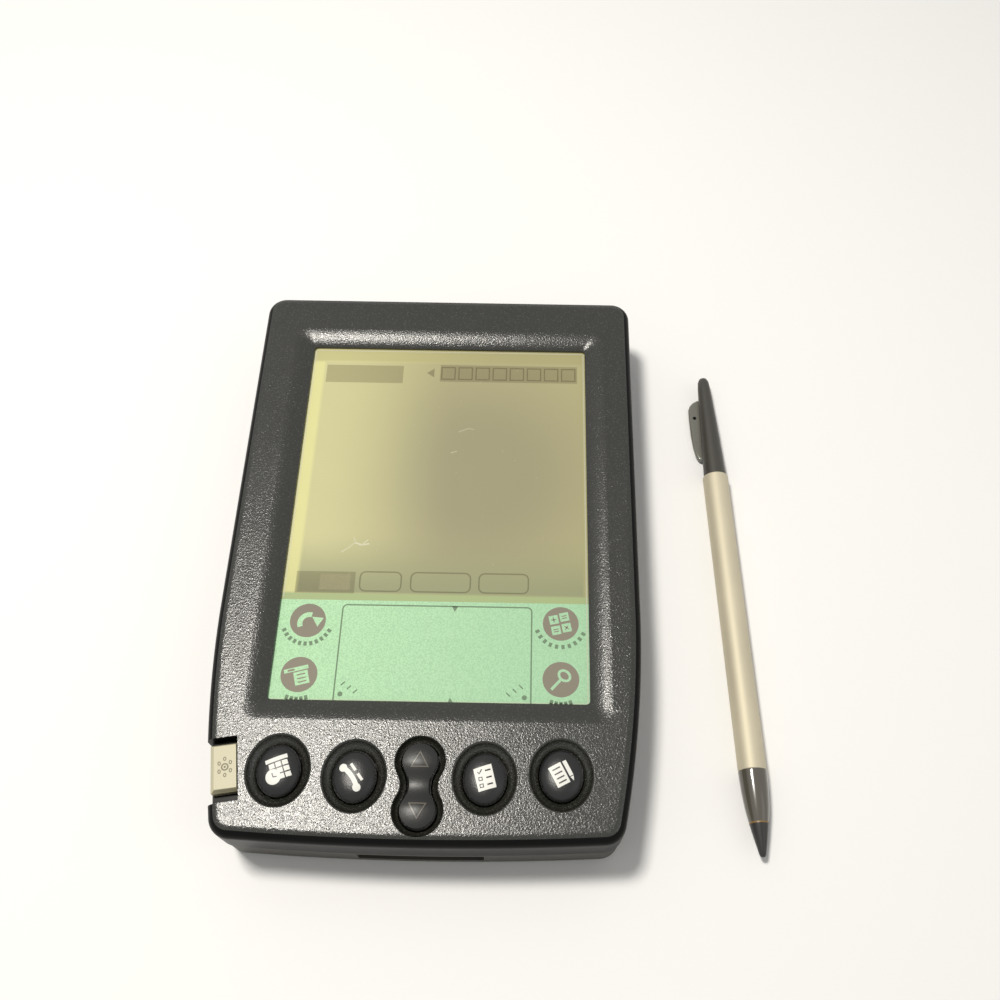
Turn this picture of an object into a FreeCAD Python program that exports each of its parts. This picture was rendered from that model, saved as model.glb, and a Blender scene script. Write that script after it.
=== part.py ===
import FreeCAD, Part
import math
import os
import Sketcher
from FreeCAD import Placement, Rotation, Vector

# A palm-size pen organiser lying on its back, with its pen beside it.
# X runs to the right, Y to the top of the case, Z out of the screen. The origin is the centre of the
# case on the face that it rests on. All sizes are millimetres.

document = FreeCAD.newDocument("Organiser")
sheet = document.addObject("Spreadsheet::Sheet", "Dimensions")


class Size:
    """A length that carries its value and the sheet expression that drives it."""

    def __init__(self, value, text):
        self.value = value
        self.text = text

    def __add__(self, other):
        other = as_size(other)
        return Size(self.value + other.value, "(%s + %s)" % (self.text, other.text))

    def __sub__(self, other):
        other = as_size(other)
        return Size(self.value - other.value, "(%s - %s)" % (self.text, other.text))

    def __mul__(self, factor):
        return Size(self.value * factor, "(%s * %s)" % (self.text, factor))

    def __truediv__(self, factor):
        return Size(self.value / factor, "(%s / %s)" % (self.text, factor))

    def __neg__(self):
        return Size(-self.value, "(0 - %s)" % self.text)


def as_size(number):
    """Give a plain number the form of a Size."""
    if isinstance(number, Size):
        return number
    return Size(float(number), "(%s)" % number)


def dimension(alias, number):
    """Put one driving dimension in the next row of the sheet."""
    dimension.row += 1
    sheet.set("A%d" % dimension.row, alias)
    sheet.set("B%d" % dimension.row, str(number))
    sheet.setAlias("B%d" % dimension.row, alias)
    return Size(float(number), "Dimensions.%s" % alias)


dimension.row = 0

# Case outline and shells
case_length = dimension("case_length", 119.4)
case_width = dimension("case_width", 81.3)
case_thickness = dimension("case_thickness", 17.8)
parting_height = dimension("parting_height", 9.0)
wall = dimension("wall", 1.6)
face_thickness = dimension("face_thickness", 1.8)
corner_radius = dimension("corner_radius", 4.0)
taper_start = dimension("taper_start", -15.0)
taper_radius = dimension("taper_radius", 208.0)
foot_radius = dimension("foot_radius", 540.0)
edge_roll = dimension("edge_roll", 2.8)
rear_edge = dimension("rear_edge", 1.6)
parting_step = dimension("parting_step", 0.2)
press_gap = dimension("press_gap", 0.05)

# Screen window
window_width = dimension("window_width", 59.8)
window_length = dimension("window_length", 80.4)
window_y = dimension("window_y", 6.5)
window_bevel = dimension("window_bevel", 3.3)
window_corner = dimension("window_corner", 0.8)
lip_height = dimension("lip_height", 16.4)

# Keys, rocker and power key
key_width = dimension("key_width", 7.9)
key_length = dimension("key_length", 9.3)
key_gap = dimension("key_gap", 0.2)
key_top = dimension("key_top", 18.5)
key_dome = dimension("key_dome", 1.7)
key_foot = dimension("key_foot", 12.3)
pad_width = dimension("pad_width", 4.2)
pad_height = dimension("pad_height", 1.0)
membrane_width = dimension("membrane_width", 59.0)
membrane_length = dimension("membrane_length", 9.2)
membrane_corner = dimension("membrane_corner", 1.5)
membrane_thickness = dimension("membrane_thickness", 0.5)
tongue_y = dimension("tongue_y", -53.4)
tongue_width = dimension("tongue_width", 9.0)
tongue_length = dimension("tongue_length", 5.6)
key_flange = dimension("key_flange", 0.7)
tab_length = dimension("tab_length", 7.4)
stem_width = dimension("stem_width", 2.8)
flange_base = dimension("flange_base", 15.0)
flange_top = dimension("flange_top", 15.8)
outer_key_x = dimension("outer_key_x", 25.2)
outer_key_y = dimension("outer_key_y", -47.0)
inner_key_x = dimension("inner_key_x", 11.6)
inner_key_y = dimension("inner_key_y", -47.8)
well_width = dimension("well_width", 11.6)
well_length = dimension("well_length", 13.1)
well_depth = dimension("well_depth", 0.9)
rocker_y = dimension("rocker_y", -49.3)
lobe_radius = dimension("lobe_radius", 3.3)
lobe_offset = dimension("lobe_offset", 4.3)
neck_radius = dimension("neck_radius", 5.0)
rocker_well = dimension("rocker_well", 1.0)
rocker_well_rim = dimension("rocker_well_rim", 1.1)
rocker_gap = dimension("rocker_gap", 0.25)
rocker_base = dimension("rocker_base", 14.1)
saddle_radius = dimension("saddle_radius", 6.9)
saddle_depth = dimension("saddle_depth", 0.7)
bearing_x = dimension("bearing_x", 5.8)
bearing_width = dimension("bearing_width", 1.6)
bearing_length = dimension("bearing_length", 2.6)
bearing_drop = dimension("bearing_drop", 1.4)
pivot_height = dimension("pivot_height", 14.4)
pivot_radius = dimension("pivot_radius", 0.8)
pivot_span = dimension("pivot_span", 14.0)
pin_span = dimension("pin_span", 13.2)
power_x = dimension("power_x", -34.95)
power_y = dimension("power_y", -47.1)
power_tilt = dimension("power_tilt", 8.7)
power_width = dimension("power_width", 4.9)
power_length = dimension("power_length", 11.2)
power_bevel = dimension("power_bevel", 1.2)
power_foot = dimension("power_foot", 13.1)
power_top = dimension("power_top", 17.9)
power_foot_x = dimension("power_foot_x", 1.6)
power_foot_width = dimension("power_foot_width", 3.6)
notch_floor = dimension("notch_floor", 12.1)

# Layers behind the window
glass_width = dimension("glass_width", 64.0)
glass_length = dimension("glass_length", 85.2)
film_top = dimension("film_top", 15.7)
film_base = dimension("film_base", 15.5)
glass_base = dimension("glass_base", 14.4)
gasket_rim = dimension("gasket_rim", 1.4)
display_width = dimension("display_width", 62.6)
display_foot = dimension("display_foot", -14.4)
display_head = dimension("display_head", 50.2)
display_ledge = dimension("display_ledge", 3.0)
polarizer_base = dimension("polarizer_base", 14.0)
polarizer_thickness = dimension("polarizer_thickness", 0.2)
front_glass_base = dimension("front_glass_base", 13.2)
rear_glass_base = dimension("rear_glass_base", 12.4)
backlight_base = dimension("backlight_base", 12.0)
frame_wall = dimension("frame_wall", 0.8)
frame_web = dimension("frame_web", 0.8)
frame_gap = dimension("frame_gap", 0.2)
frame_rest = dimension("frame_rest", 1.0)
slot_reach = dimension("slot_reach", 3.0)
ribbon_width = dimension("ribbon_width", 40.0)
ribbon_thickness = dimension("ribbon_thickness", 0.2)
ribbon_overlap = dimension("ribbon_overlap", 0.4)
ribbon_reach = dimension("ribbon_reach", 2.6)
ribbon_grip = dimension("ribbon_grip", 0.7)
socket_mouth = dimension("socket_mouth", 0.9)
tail_clearance = dimension("tail_clearance", 1.5)
tail_level = dimension("tail_level", 0.5)
tail_width = dimension("tail_width", 8.0)
tail_x = dimension("tail_x", -5.0)

# Boards and their parts
board_base = dimension("board_base", 9.4)
board_top = dimension("board_top", 10.4)
board_inset = dimension("board_inset", 2.6)
board_gap = dimension("board_gap", 0.3)
memory_base = dimension("memory_base", 6.0)
memory_top = dimension("memory_top", 6.8)
memory_x = dimension("memory_x", 11.0)
memory_y = dimension("memory_y", 3.0)
memory_width = dimension("memory_width", 28.0)
memory_length = dimension("memory_length", 26.0)
header_inset = dimension("header_inset", 1.0)
header_start = dimension("header_start", 3.0)
header_end = dimension("header_end", 0.5)
memory_chip_width = dimension("memory_chip_width", 18.0)
memory_chip_length = dimension("memory_chip_length", 12.0)
memory_chip_height = dimension("memory_chip_height", 1.2)
chip_height = dimension("chip_height", 1.4)
switch_x = dimension("switch_x", -33.2)
switch_y = dimension("switch_y", -47.0)
switch_width = dimension("switch_width", 3.6)
switch_length = dimension("switch_length", 4.0)
switch_height = dimension("switch_height", 1.6)
reset_switch_half = dimension("reset_switch_half", 2.0)
reset_switch_height = dimension("reset_switch_height", 2.4)
capacitor_x = dimension("capacitor_x", -31.0)
capacitor_y = dimension("capacitor_y", 8.0)
capacitor_radius = dimension("capacitor_radius", 3.1)
capacitor_height = dimension("capacitor_height", 5.4)
socket_start = dimension("socket_start", 3.3)
socket_length = dimension("socket_length", 2.7)
socket_height = dimension("socket_height", 1.4)

# Screws and bosses
boss_top_y = dimension("boss_top_y", 53.4)
boss_foot_y = dimension("boss_foot_y", -54.0)
boss_foot_x = dimension("boss_foot_x", 28.8)
boss_left_x = dimension("boss_left_x", -33.4)
boss_right_x = dimension("boss_right_x", 26.0)
boss_radius = dimension("boss_radius", 2.2)
post_radius = dimension("post_radius", 3.1)
screw_radius = dimension("screw_radius", 1.0)
screw_head_radius = dimension("screw_head_radius", 1.8)
screw_head_depth = dimension("screw_head_depth", 2.6)
screw_clearance = dimension("screw_clearance", 0.15)
screw_head_height = dimension("screw_head_height", 1.2)
screw_length = dimension("screw_length", 11.6)
pilot_depth = dimension("pilot_depth", 4.6)

# Battery bay
cell_radius = dimension("cell_radius", 5.25)
cell_length = dimension("cell_length", 44.5)
cell_gap = dimension("cell_gap", 0.2)
nub_length = dimension("nub_length", 1.2)
nub_radius = dimension("nub_radius", 1.9)
bay_x = dimension("bay_x", -3.0)
bay_y = dimension("bay_y", -28.2)
bay_width = dimension("bay_width", 54.0)
bay_length = dimension("bay_length", 22.2)
bay_roof = dimension("bay_roof", 12.6)
bay_wall = dimension("bay_wall", 1.1)
bay_cap = dimension("bay_cap", 1.0)
door_ledge = dimension("door_ledge", 0.7)
door_thickness = dimension("door_thickness", 1.5)
door_gap = dimension("door_gap", 0.15)
door_corner = dimension("door_corner", 0.5)
catch_inset = dimension("catch_inset", 6.0)
catch_width = dimension("catch_width", 5.0)
catch_length = dimension("catch_length", 10.0)
catch_depth = dimension("catch_depth", 0.6)
plate_thickness = dimension("plate_thickness", 0.4)
plate_half = dimension("plate_half", 4.0)
plate_low = dimension("plate_low", 3.0)
plate_high = dimension("plate_high", 11.0)
leaf_half = dimension("leaf_half", 2.0)

# Pen and its silo
silo_x = dimension("silo_x", 33.6)
silo_z = dimension("silo_z", 4.9)
silo_radius = dimension("silo_radius", 3.15)
silo_length = dimension("silo_length", 105.0)
silo_wall = dimension("silo_wall", 0.8)
silo_bend = dimension("silo_bend", 7.0)
pen_x = dimension("pen_x", 63.1)
pen_y = dimension("pen_y", -57.9)
pen_turn = dimension("pen_turn", 2.14)
pen_radius = dimension("pen_radius", 2.75)
pen_bore = dimension("pen_bore", 2.2)
pen_length = dimension("pen_length", 107.3)
nib_length = dimension("nib_length", 6.2)
nib_radius = dimension("nib_radius", 1.85)
nib_tip = dimension("nib_tip", 0.6)
collar_end = dimension("collar_end", 15.9)
barrel_end = dimension("barrel_end", 80.8)
cap_root = dimension("cap_root", 2.45)
cap_tip = dimension("cap_tip", 1.3)
clip_left = dimension("clip_left", -4.0)
clip_right = dimension("clip_right", 1.8)
clip_start = dimension("clip_start", 5.0)
clip_end = dimension("clip_end", 21.5)
clip_slope = dimension("clip_slope", 2.6)
clip_base = dimension("clip_base", -2.2)
clip_thickness = dimension("clip_thickness", 1.1)
spigot_length = dimension("spigot_length", 6.0)
pin_radius = dimension("pin_radius", 0.45)
pin_length = dimension("pin_length", 10.0)

# Contrast wheel, sounder, infrared window and dock connector
wheel_x = dimension("wheel_x", -33.7)
wheel_y = dimension("wheel_y", 30.0)
wheel_radius = dimension("wheel_radius", 6.7)
wheel_base = dimension("wheel_base", 4.6)
wheel_thickness = dimension("wheel_thickness", 2.6)
tooth_depth = dimension("tooth_depth", 0.4)
wheel_gap = dimension("wheel_gap", 0.25)
scallop_radius = dimension("scallop_radius", 30.0)
scallop_depth = dimension("scallop_depth", 1.1)
scallop_drop = dimension("scallop_drop", 1.2)
control_half = dimension("control_half", 4.0)
axle_radius = dimension("axle_radius", 1.45)
sounder_x = dimension("sounder_x", -14.0)
sounder_y = dimension("sounder_y", 36.0)
sounder_radius = dimension("sounder_radius", 10.0)
sounder_thickness = dimension("sounder_thickness", 0.6)
vent_pitch = dimension("vent_pitch", 2.2)
vent_width = dimension("vent_width", 0.9)
vent_length = dimension("vent_length", 8.0)
infrared_x = dimension("infrared_x", -10.0)
infrared_width = dimension("infrared_width", 20.0)
infrared_reach = dimension("infrared_reach", 3.3)
infrared_depth = dimension("infrared_depth", 3.0)
infrared_corner = dimension("infrared_corner", 0.4)
module_width = dimension("module_width", 10.0)
module_foot = dimension("module_foot", 49.0)
module_length = dimension("module_length", 7.0)
module_height = dimension("module_height", 3.4)
dock_width = dimension("dock_width", 23.0)
dock_height = dimension("dock_height", 3.6)
dock_z = dimension("dock_z", 5.0)
dock_pitch = dimension("dock_pitch", 2.0)
dock_depth = dimension("dock_depth", 4.6)
dock_setback = dimension("dock_setback", 0.4)
dock_length = dimension("dock_length", 6.9)
dock_slot_depth = dimension("dock_slot_depth", 3.9)
dock_wall = dimension("dock_wall", 0.6)
dock_side = dimension("dock_side", 1.0)
dock_lip = dimension("dock_lip", 0.4)
contact_half = dimension("contact_half", 0.5)
contact_start = dimension("contact_start", 0.5)
contact_thickness = dimension("contact_thickness", 0.3)
reset_x = dimension("reset_x", 12.0)
reset_y = dimension("reset_y", 24.0)
reset_radius = dimension("reset_radius", 0.9)

DOCK_CONTACTS = 10
SOUNDER_VENTS = 5
WHEEL_TEETH = 24
DOME_TURNS = (0, 40, 90)

face_inside = case_thickness - face_thickness
display_y = (display_foot + display_head) / 2
display_length = display_head - display_foot
document.recompute()

sub_parts = []


def keep(item, label):
    """Name a finished sub-part, so that it is written to its own file."""
    item.Label = label
    sub_parts.append(item)
    return item


def new_body(label):
    """Start a body that becomes one sub-part."""
    return keep(document.addObject("PartDesign::Body", label), label)


def origin_feature(body, role):
    """Find one of the body's own origin planes or axes."""
    return next(item for item in body.Origin.OriginFeatures if item.Role == role)


def direction(start, end):
    """The angle of the line from one point to another, in radians."""
    return math.atan2(end.y - start.y, end.x - start.x)


def round_arc(centre, radius, start, end):
    """A counter-clockwise arc between two angles in radians."""
    return Part.ArcOfCircle(Part.Circle(centre, Vector(0, 0, 1), radius), start, end)


def mirrored(curve):
    """The same line or arc on the other side of the Y axis, still travelling counter-clockwise."""
    if isinstance(curve, Part.LineSegment):
        start = curve.EndPoint
        end = curve.StartPoint
        return Part.LineSegment(Vector(-start.x, start.y, 0), Vector(-end.x, end.y, 0))
    centre = Vector(-curve.Center.x, curve.Center.y, 0)
    return round_arc(centre, curve.Radius, math.pi - curve.LastParameter, math.pi - curve.FirstParameter)


def meeting(one, one_reach, other, other_reach):
    """The lower right point at given distances from two centres."""
    gap = other - one
    span = gap.Length
    along = (one_reach ** 2 - other_reach ** 2 + span ** 2) / (2 * span)
    aside = math.sqrt(one_reach ** 2 - along ** 2)
    unit = gap / span
    foot = one + unit * along
    across = Vector(unit.y, -unit.x, 0) * aside
    choices = (foot + across, foot - across)
    return min(choices, key=lambda point: point.y)


class Profile:
    """A sketch on one of a body's own origin planes, with every size bound to the sheet."""

    def __init__(self, body, name, plane="XY_Plane", height=0.0):
        self.body = body
        self.sketch = body.newObject("Sketcher::SketchObject", name)
        self.sketch.AttachmentSupport = (origin_feature(body, plane), [""])
        self.sketch.MapMode = "FlatFace"
        self.sketch.setExpression("AttachmentOffset.Base.z", as_size(height).text)

    def turn(self, x, y, angle):
        """Move the sketch's own origin in its plane and turn it there."""
        self.sketch.AttachmentOffset = Placement(Vector(), Rotation(Vector(0, 0, 1), angle.value))
        self.sketch.setExpression("AttachmentOffset.Base.x", x.text)
        self.sketch.setExpression("AttachmentOffset.Base.y", y.text)
        self.sketch.setExpression("AttachmentOffset.Rotation.Angle", angle.text)
        return self

    def limit(self, kind, *arguments):
        """Add a constraint. Its last argument may be a Size, which then drives it."""
        size = arguments[-1]
        if not isinstance(size, Size):
            return self.sketch.addConstraint(Sketcher.Constraint(kind, *arguments))
        index = self.sketch.addConstraint(Sketcher.Constraint(kind, *arguments[:-1], size.value))
        self.sketch.setExpression("Constraints[%d]" % index, size.text)
        return index

    def place(self, geometry, point, x, y):
        """Hold one point of a curve at x and y from the sketch's origin."""
        self.limit("DistanceX", -1, 1, geometry, point, as_size(x))
        self.limit("DistanceY", -1, 1, geometry, point, as_size(y))

    def circle(self, x, y, radius):
        centre = Vector(as_size(x).value, as_size(y).value, 0)
        index = self.sketch.addGeometry(Part.Circle(centre, Vector(0, 0, 1), radius.value), False)
        self.limit("Radius", index, radius)
        self.place(index, 3, x, y)
        return self

    def oval(self, x, y, width, length):
        """An ellipse that is longer along the sketch's Y."""
        centre = Vector(x.value, y.value, 0)
        top = centre + Vector(0, length.value / 2, 0)
        side = centre - Vector(width.value / 2, 0, 0)
        index = self.sketch.addGeometry(Part.Ellipse(top, side, centre), False)
        self.sketch.exposeInternalGeometry(index)
        long_axis = index + 1
        short_axis = index + 2
        self.limit("Vertical", long_axis)
        self.limit("Distance", long_axis, length)
        self.limit("Distance", short_axis, width)
        self.place(index, 3, x, y)
        return self

    def polygon(self, corners):
        """A closed outline of straight lines through corners given as pairs of sizes."""
        points = [(as_size(x), as_size(y)) for x, y in corners]
        vectors = [Vector(x.value, y.value, 0) for x, y in points]
        lines = [Part.LineSegment(a, b) for a, b in zip(vectors, vectors[1:] + vectors[:1])]
        first = self.sketch.GeometryCount
        self.sketch.addGeometry(lines, False)
        for step, (x, y) in enumerate(points):
            self.place(first + step, 1, x, y)
            following = first + (step + 1) % len(points)
            self.limit("Coincident", first + step, 2, following, 1)
        return self

    def rectangle(self, x, y, width, length):
        """A rectangle about its centre."""
        left = x - width / 2
        right = x + width / 2
        low = y - length / 2
        high = y + length / 2
        return self.polygon([(left, low), (right, low), (right, high), (left, high)])

    def chain(self, curves):
        """Join arcs and lines end to end, each tangent to the next, into a closed outline."""
        first = self.sketch.GeometryCount
        self.sketch.addGeometry(curves, False)
        for step in range(len(curves)):
            following = first + (step + 1) % len(curves)
            self.limit("Tangent", first + step, 2, following, 1)
        return first

    def round_rectangle(self, x, y, width, length, radius):
        """A rectangle about its centre, with its four corners rounded."""
        r = radius.value
        reach_x = width.value / 2 - r
        reach_y = length.value / 2 - r
        centre = Vector(as_size(x).value, as_size(y).value, 0)
        curves = []
        for quarter, (side_x, side_y) in enumerate(((1, -1), (1, 1), (-1, 1), (-1, -1))):
            middle = centre + Vector(side_x * reach_x, side_y * reach_y, 0)
            start = math.radians(90 * quarter - 90)
            curves.append(round_arc(middle, r, start, start + math.pi / 2))
        lines = []
        for step in range(4):
            end = curves[step].EndPoint
            lines.append(Part.LineSegment(end, curves[(step + 1) % 4].StartPoint))
        outline = [curve for pair in zip(curves, lines) for curve in pair]
        first = self.chain(outline)
        for step in (1, 5):
            self.limit("Vertical", first + step)
        for step in (3, 7):
            self.limit("Horizontal", first + step)
        for step in (0, 2, 4, 6):
            self.limit("Radius", first + step, radius)
        right = as_size(x) + width / 2
        left = as_size(x) - width / 2
        high = as_size(y) + length / 2
        low = as_size(y) - length / 2
        self.limit("DistanceX", -1, 1, first + 1, 1, right)
        self.limit("DistanceY", -1, 1, first + 3, 1, high)
        self.limit("DistanceX", -1, 1, first + 5, 1, left)
        self.limit("DistanceY", -1, 1, first + 7, 1, low)
        return self

    def case_outline(self, inset):
        """The case seen from the front: straight top, sides that taper in lower down, a bowed foot."""
        inset = as_size(inset)
        side = case_width / 2 - inset
        head = case_length / 2 - inset
        corner = corner_radius - inset / 2
        flank_radius = taper_radius - inset
        bow_radius = foot_radius - inset
        flank_x = case_width / 2 - taper_radius
        bow_y = foot_radius - case_length / 2
        flank_centre = Vector(flank_x.value, taper_start.value, 0)
        bow_centre = Vector(0, bow_y.value, 0)
        toe_centre = meeting(flank_centre, flank_radius.value - corner.value,
                             bow_centre, bow_radius.value - corner.value)
        head_centre = Vector(side.value - corner.value, head.value - corner.value, 0)
        to_toe = direction(flank_centre, toe_centre)
        to_foot = direction(bow_centre, toe_centre)
        right = [
            round_arc(toe_centre, corner.value, to_foot, to_toe),
            round_arc(flank_centre, flank_radius.value, to_toe, 0.0),
            Part.LineSegment(Vector(side.value, taper_start.value, 0), Vector(side.value, head_centre.y, 0)),
            round_arc(head_centre, corner.value, 0.0, math.pi / 2),
        ]
        left = [mirrored(curve) for curve in reversed(right)]
        top = Part.LineSegment(right[-1].EndPoint, left[0].StartPoint)
        foot = round_arc(bow_centre, bow_radius.value, -math.pi - to_foot, to_foot)
        first = self.chain(right + [top] + left + [foot])
        for step in (0, 3, 5, 8):
            self.limit("Radius", first + step, corner)
        for step in (1, 7):
            self.limit("Radius", first + step, flank_radius)
        self.limit("Radius", first + 9, bow_radius)
        for step, x in ((2, side), (6, -side)):
            self.limit("Vertical", first + step)
            self.limit("DistanceX", -1, 1, first + step, 1, x)
        self.limit("DistanceY", -1, 1, first + 2, 1, taper_start)
        self.limit("DistanceY", -1, 1, first + 6, 2, taper_start)
        self.limit("Horizontal", first + 4)
        self.limit("DistanceY", -1, 1, first + 4, 1, head)
        self.place(first + 9, 3, 0.0, bow_y)
        return self

    def dumbbell(self, grow):
        """Two round lobes joined by a drawn-in waist, grown outwards by an even margin."""
        grow = as_size(grow)
        lobe = lobe_radius + grow
        neck = neck_radius - grow
        reach = lobe_offset.value
        neck_x = math.sqrt((lobe_radius.value + neck_radius.value) ** 2 - reach ** 2)
        lean = math.atan2(reach, neck_x)
        middle = rocker_y.value
        curves = [
            round_arc(Vector(0, middle + reach, 0), lobe.value, -lean, math.pi + lean),
            round_arc(Vector(-neck_x, middle, 0), neck.value, -lean, lean),
            round_arc(Vector(0, middle - reach, 0), lobe.value, math.pi - lean, 2 * math.pi + lean),
            round_arc(Vector(neck_x, middle, 0), neck.value, math.pi - lean, math.pi + lean),
        ]
        self.sketch.addGeometry(curves, False)
        for one, one_end, other, other_end in ((0, 2, 1, 2), (1, 1, 2, 1), (2, 2, 3, 2), (3, 1, 0, 1)):
            self.limit("Tangent", one, one_end, other, other_end)
        for arc, radius in ((0, lobe), (1, neck), (2, lobe), (3, neck)):
            self.limit("Radius", arc, radius)
        self.place(0, 3, 0.0, rocker_y + lobe_offset)
        self.place(2, 3, 0.0, rocker_y - lobe_offset)
        return self


def volume_of(body):
    """The body's volume so far, nought before its first feature."""
    document.recompute()
    return 0.0 if body.Shape.isNull() else body.Shape.Volume


def feature(kind, profile, name, depth=None, both_ways=False, turned=False):
    """Pad or pocket a profile, and make sure that it added or took away material."""
    before = volume_of(profile.body)
    item = profile.body.newObject("PartDesign::" + kind, name)
    item.Profile = profile.sketch
    item.Reversed = turned
    item.Midplane = both_ways
    if depth is None:
        item.Type = "ThroughAll"
    else:
        item.setExpression("Length", as_size(depth).text)
    change = volume_of(profile.body) - before
    if abs(change) < 0.001 or (change > 0) != (kind == "Pad"):
        raise RuntimeError("%s changed the volume by %g" % (name, change))
    return item


def pad(profile, name, depth, **options):
    return feature("Pad", profile, name, depth, **options)


def pocket(profile, name, depth=None, **options):
    return feature("Pocket", profile, name, depth, **options)


def loft(body, name, outlines, cut=False):
    """Add or take away the solid that joins several outlines with straight walls."""
    before = volume_of(body)
    kind = "PartDesign::SubtractiveLoft" if cut else "PartDesign::AdditiveLoft"
    item = body.newObject(kind, name)
    item.Profile = outlines[0].sketch
    item.Sections = [outline.sketch for outline in outlines[1:]]
    item.Ruled = True
    change = volume_of(body) - before
    if abs(change) < 0.001 or (change < 0) != cut:
        raise RuntimeError("%s changed the volume by %g" % (name, change))
    return item


def spin(body, profile, name, axis="Y_Axis", cut=False):
    """Spin a profile a full turn about one of the body's own axes."""
    kind = "PartDesign::Groove" if cut else "PartDesign::Revolution"
    item = body.newObject(kind, name)
    item.Profile = profile.sketch
    item.ReferenceAxis = (origin_feature(body, axis), [""])
    item.Angle = 360
    document.recompute()
    return item


def round_edges(body, name, radius, wanted, kind="Fillet"):
    """Fillet or chamfer the edges whose centre passes the test."""
    document.recompute()
    base = body.Tip
    names = []
    for index, edge in enumerate(base.Shape.Edges):
        if wanted(edge.BoundBox):
            names.append("Edge%d" % (index + 1))
    item = body.newObject("PartDesign::" + kind, name)
    item.Base = (base, names)
    item.setExpression("Radius" if kind == "Fillet" else "Size", radius.text)
    document.recompute()
    return item


def level_at(height):
    """A test for edges that lie flat at one height."""
    return lambda box: abs(box.ZMin - height.value) < 0.01 and abs(box.ZMax - height.value) < 0.01


def block(label, low, high, finished=True):
    """A box between two corners given as sizes."""
    item = document.addObject("Part::Box", label)
    for field, axis, a, b in zip(("Length", "Width", "Height"), "xyz", low, high):
        item.setExpression(field, (as_size(b) - a).text)
        item.setExpression("Placement.Base." + axis, as_size(a).text)
    return keep(item, label) if finished else item


def rod(label, radius, height, base, along=Vector(0, 0, 1), finished=True):
    """A cylinder from its base point along a direction."""
    item = document.addObject("Part::Cylinder", label)
    item.setExpression("Radius", as_size(radius).text)
    item.setExpression("Height", as_size(height).text)
    item.Placement = Placement(Vector(), Rotation(Vector(0, 0, 1), along))
    for axis, place in zip("xyz", base):
        item.setExpression("Placement.Base." + axis, as_size(place).text)
    return keep(item, label) if finished else item


def cut(label, base, tool, finished=True):
    """Take one solid out of another."""
    item = document.addObject("Part::Cut", label)
    item.Base = base
    item.Tool = tool
    return keep(item, label) if finished else item


def group(label, items, kind="Part::Compound", finished=True):
    """Hold several solids in one sub-part, loose or fused."""
    item = document.addObject(kind, label)
    if kind == "Part::Compound":
        item.Links = items
    else:
        item.Shapes = items
    return keep(item, label) if finished else item


def fused(label, items, finished=True):
    return group(label, items, "Part::MultiFuse", finished)


boss_spots = (
    (boss_left_x, boss_top_y),
    (boss_right_x, boss_top_y),
    (-boss_foot_x, boss_foot_y),
    (boss_foot_x, boss_foot_y),
)


def circles(profile, spots, radius):
    """Draw the same circle at several places."""
    for x, y in spots:
        profile.circle(x, y, radius)
    return profile


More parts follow.
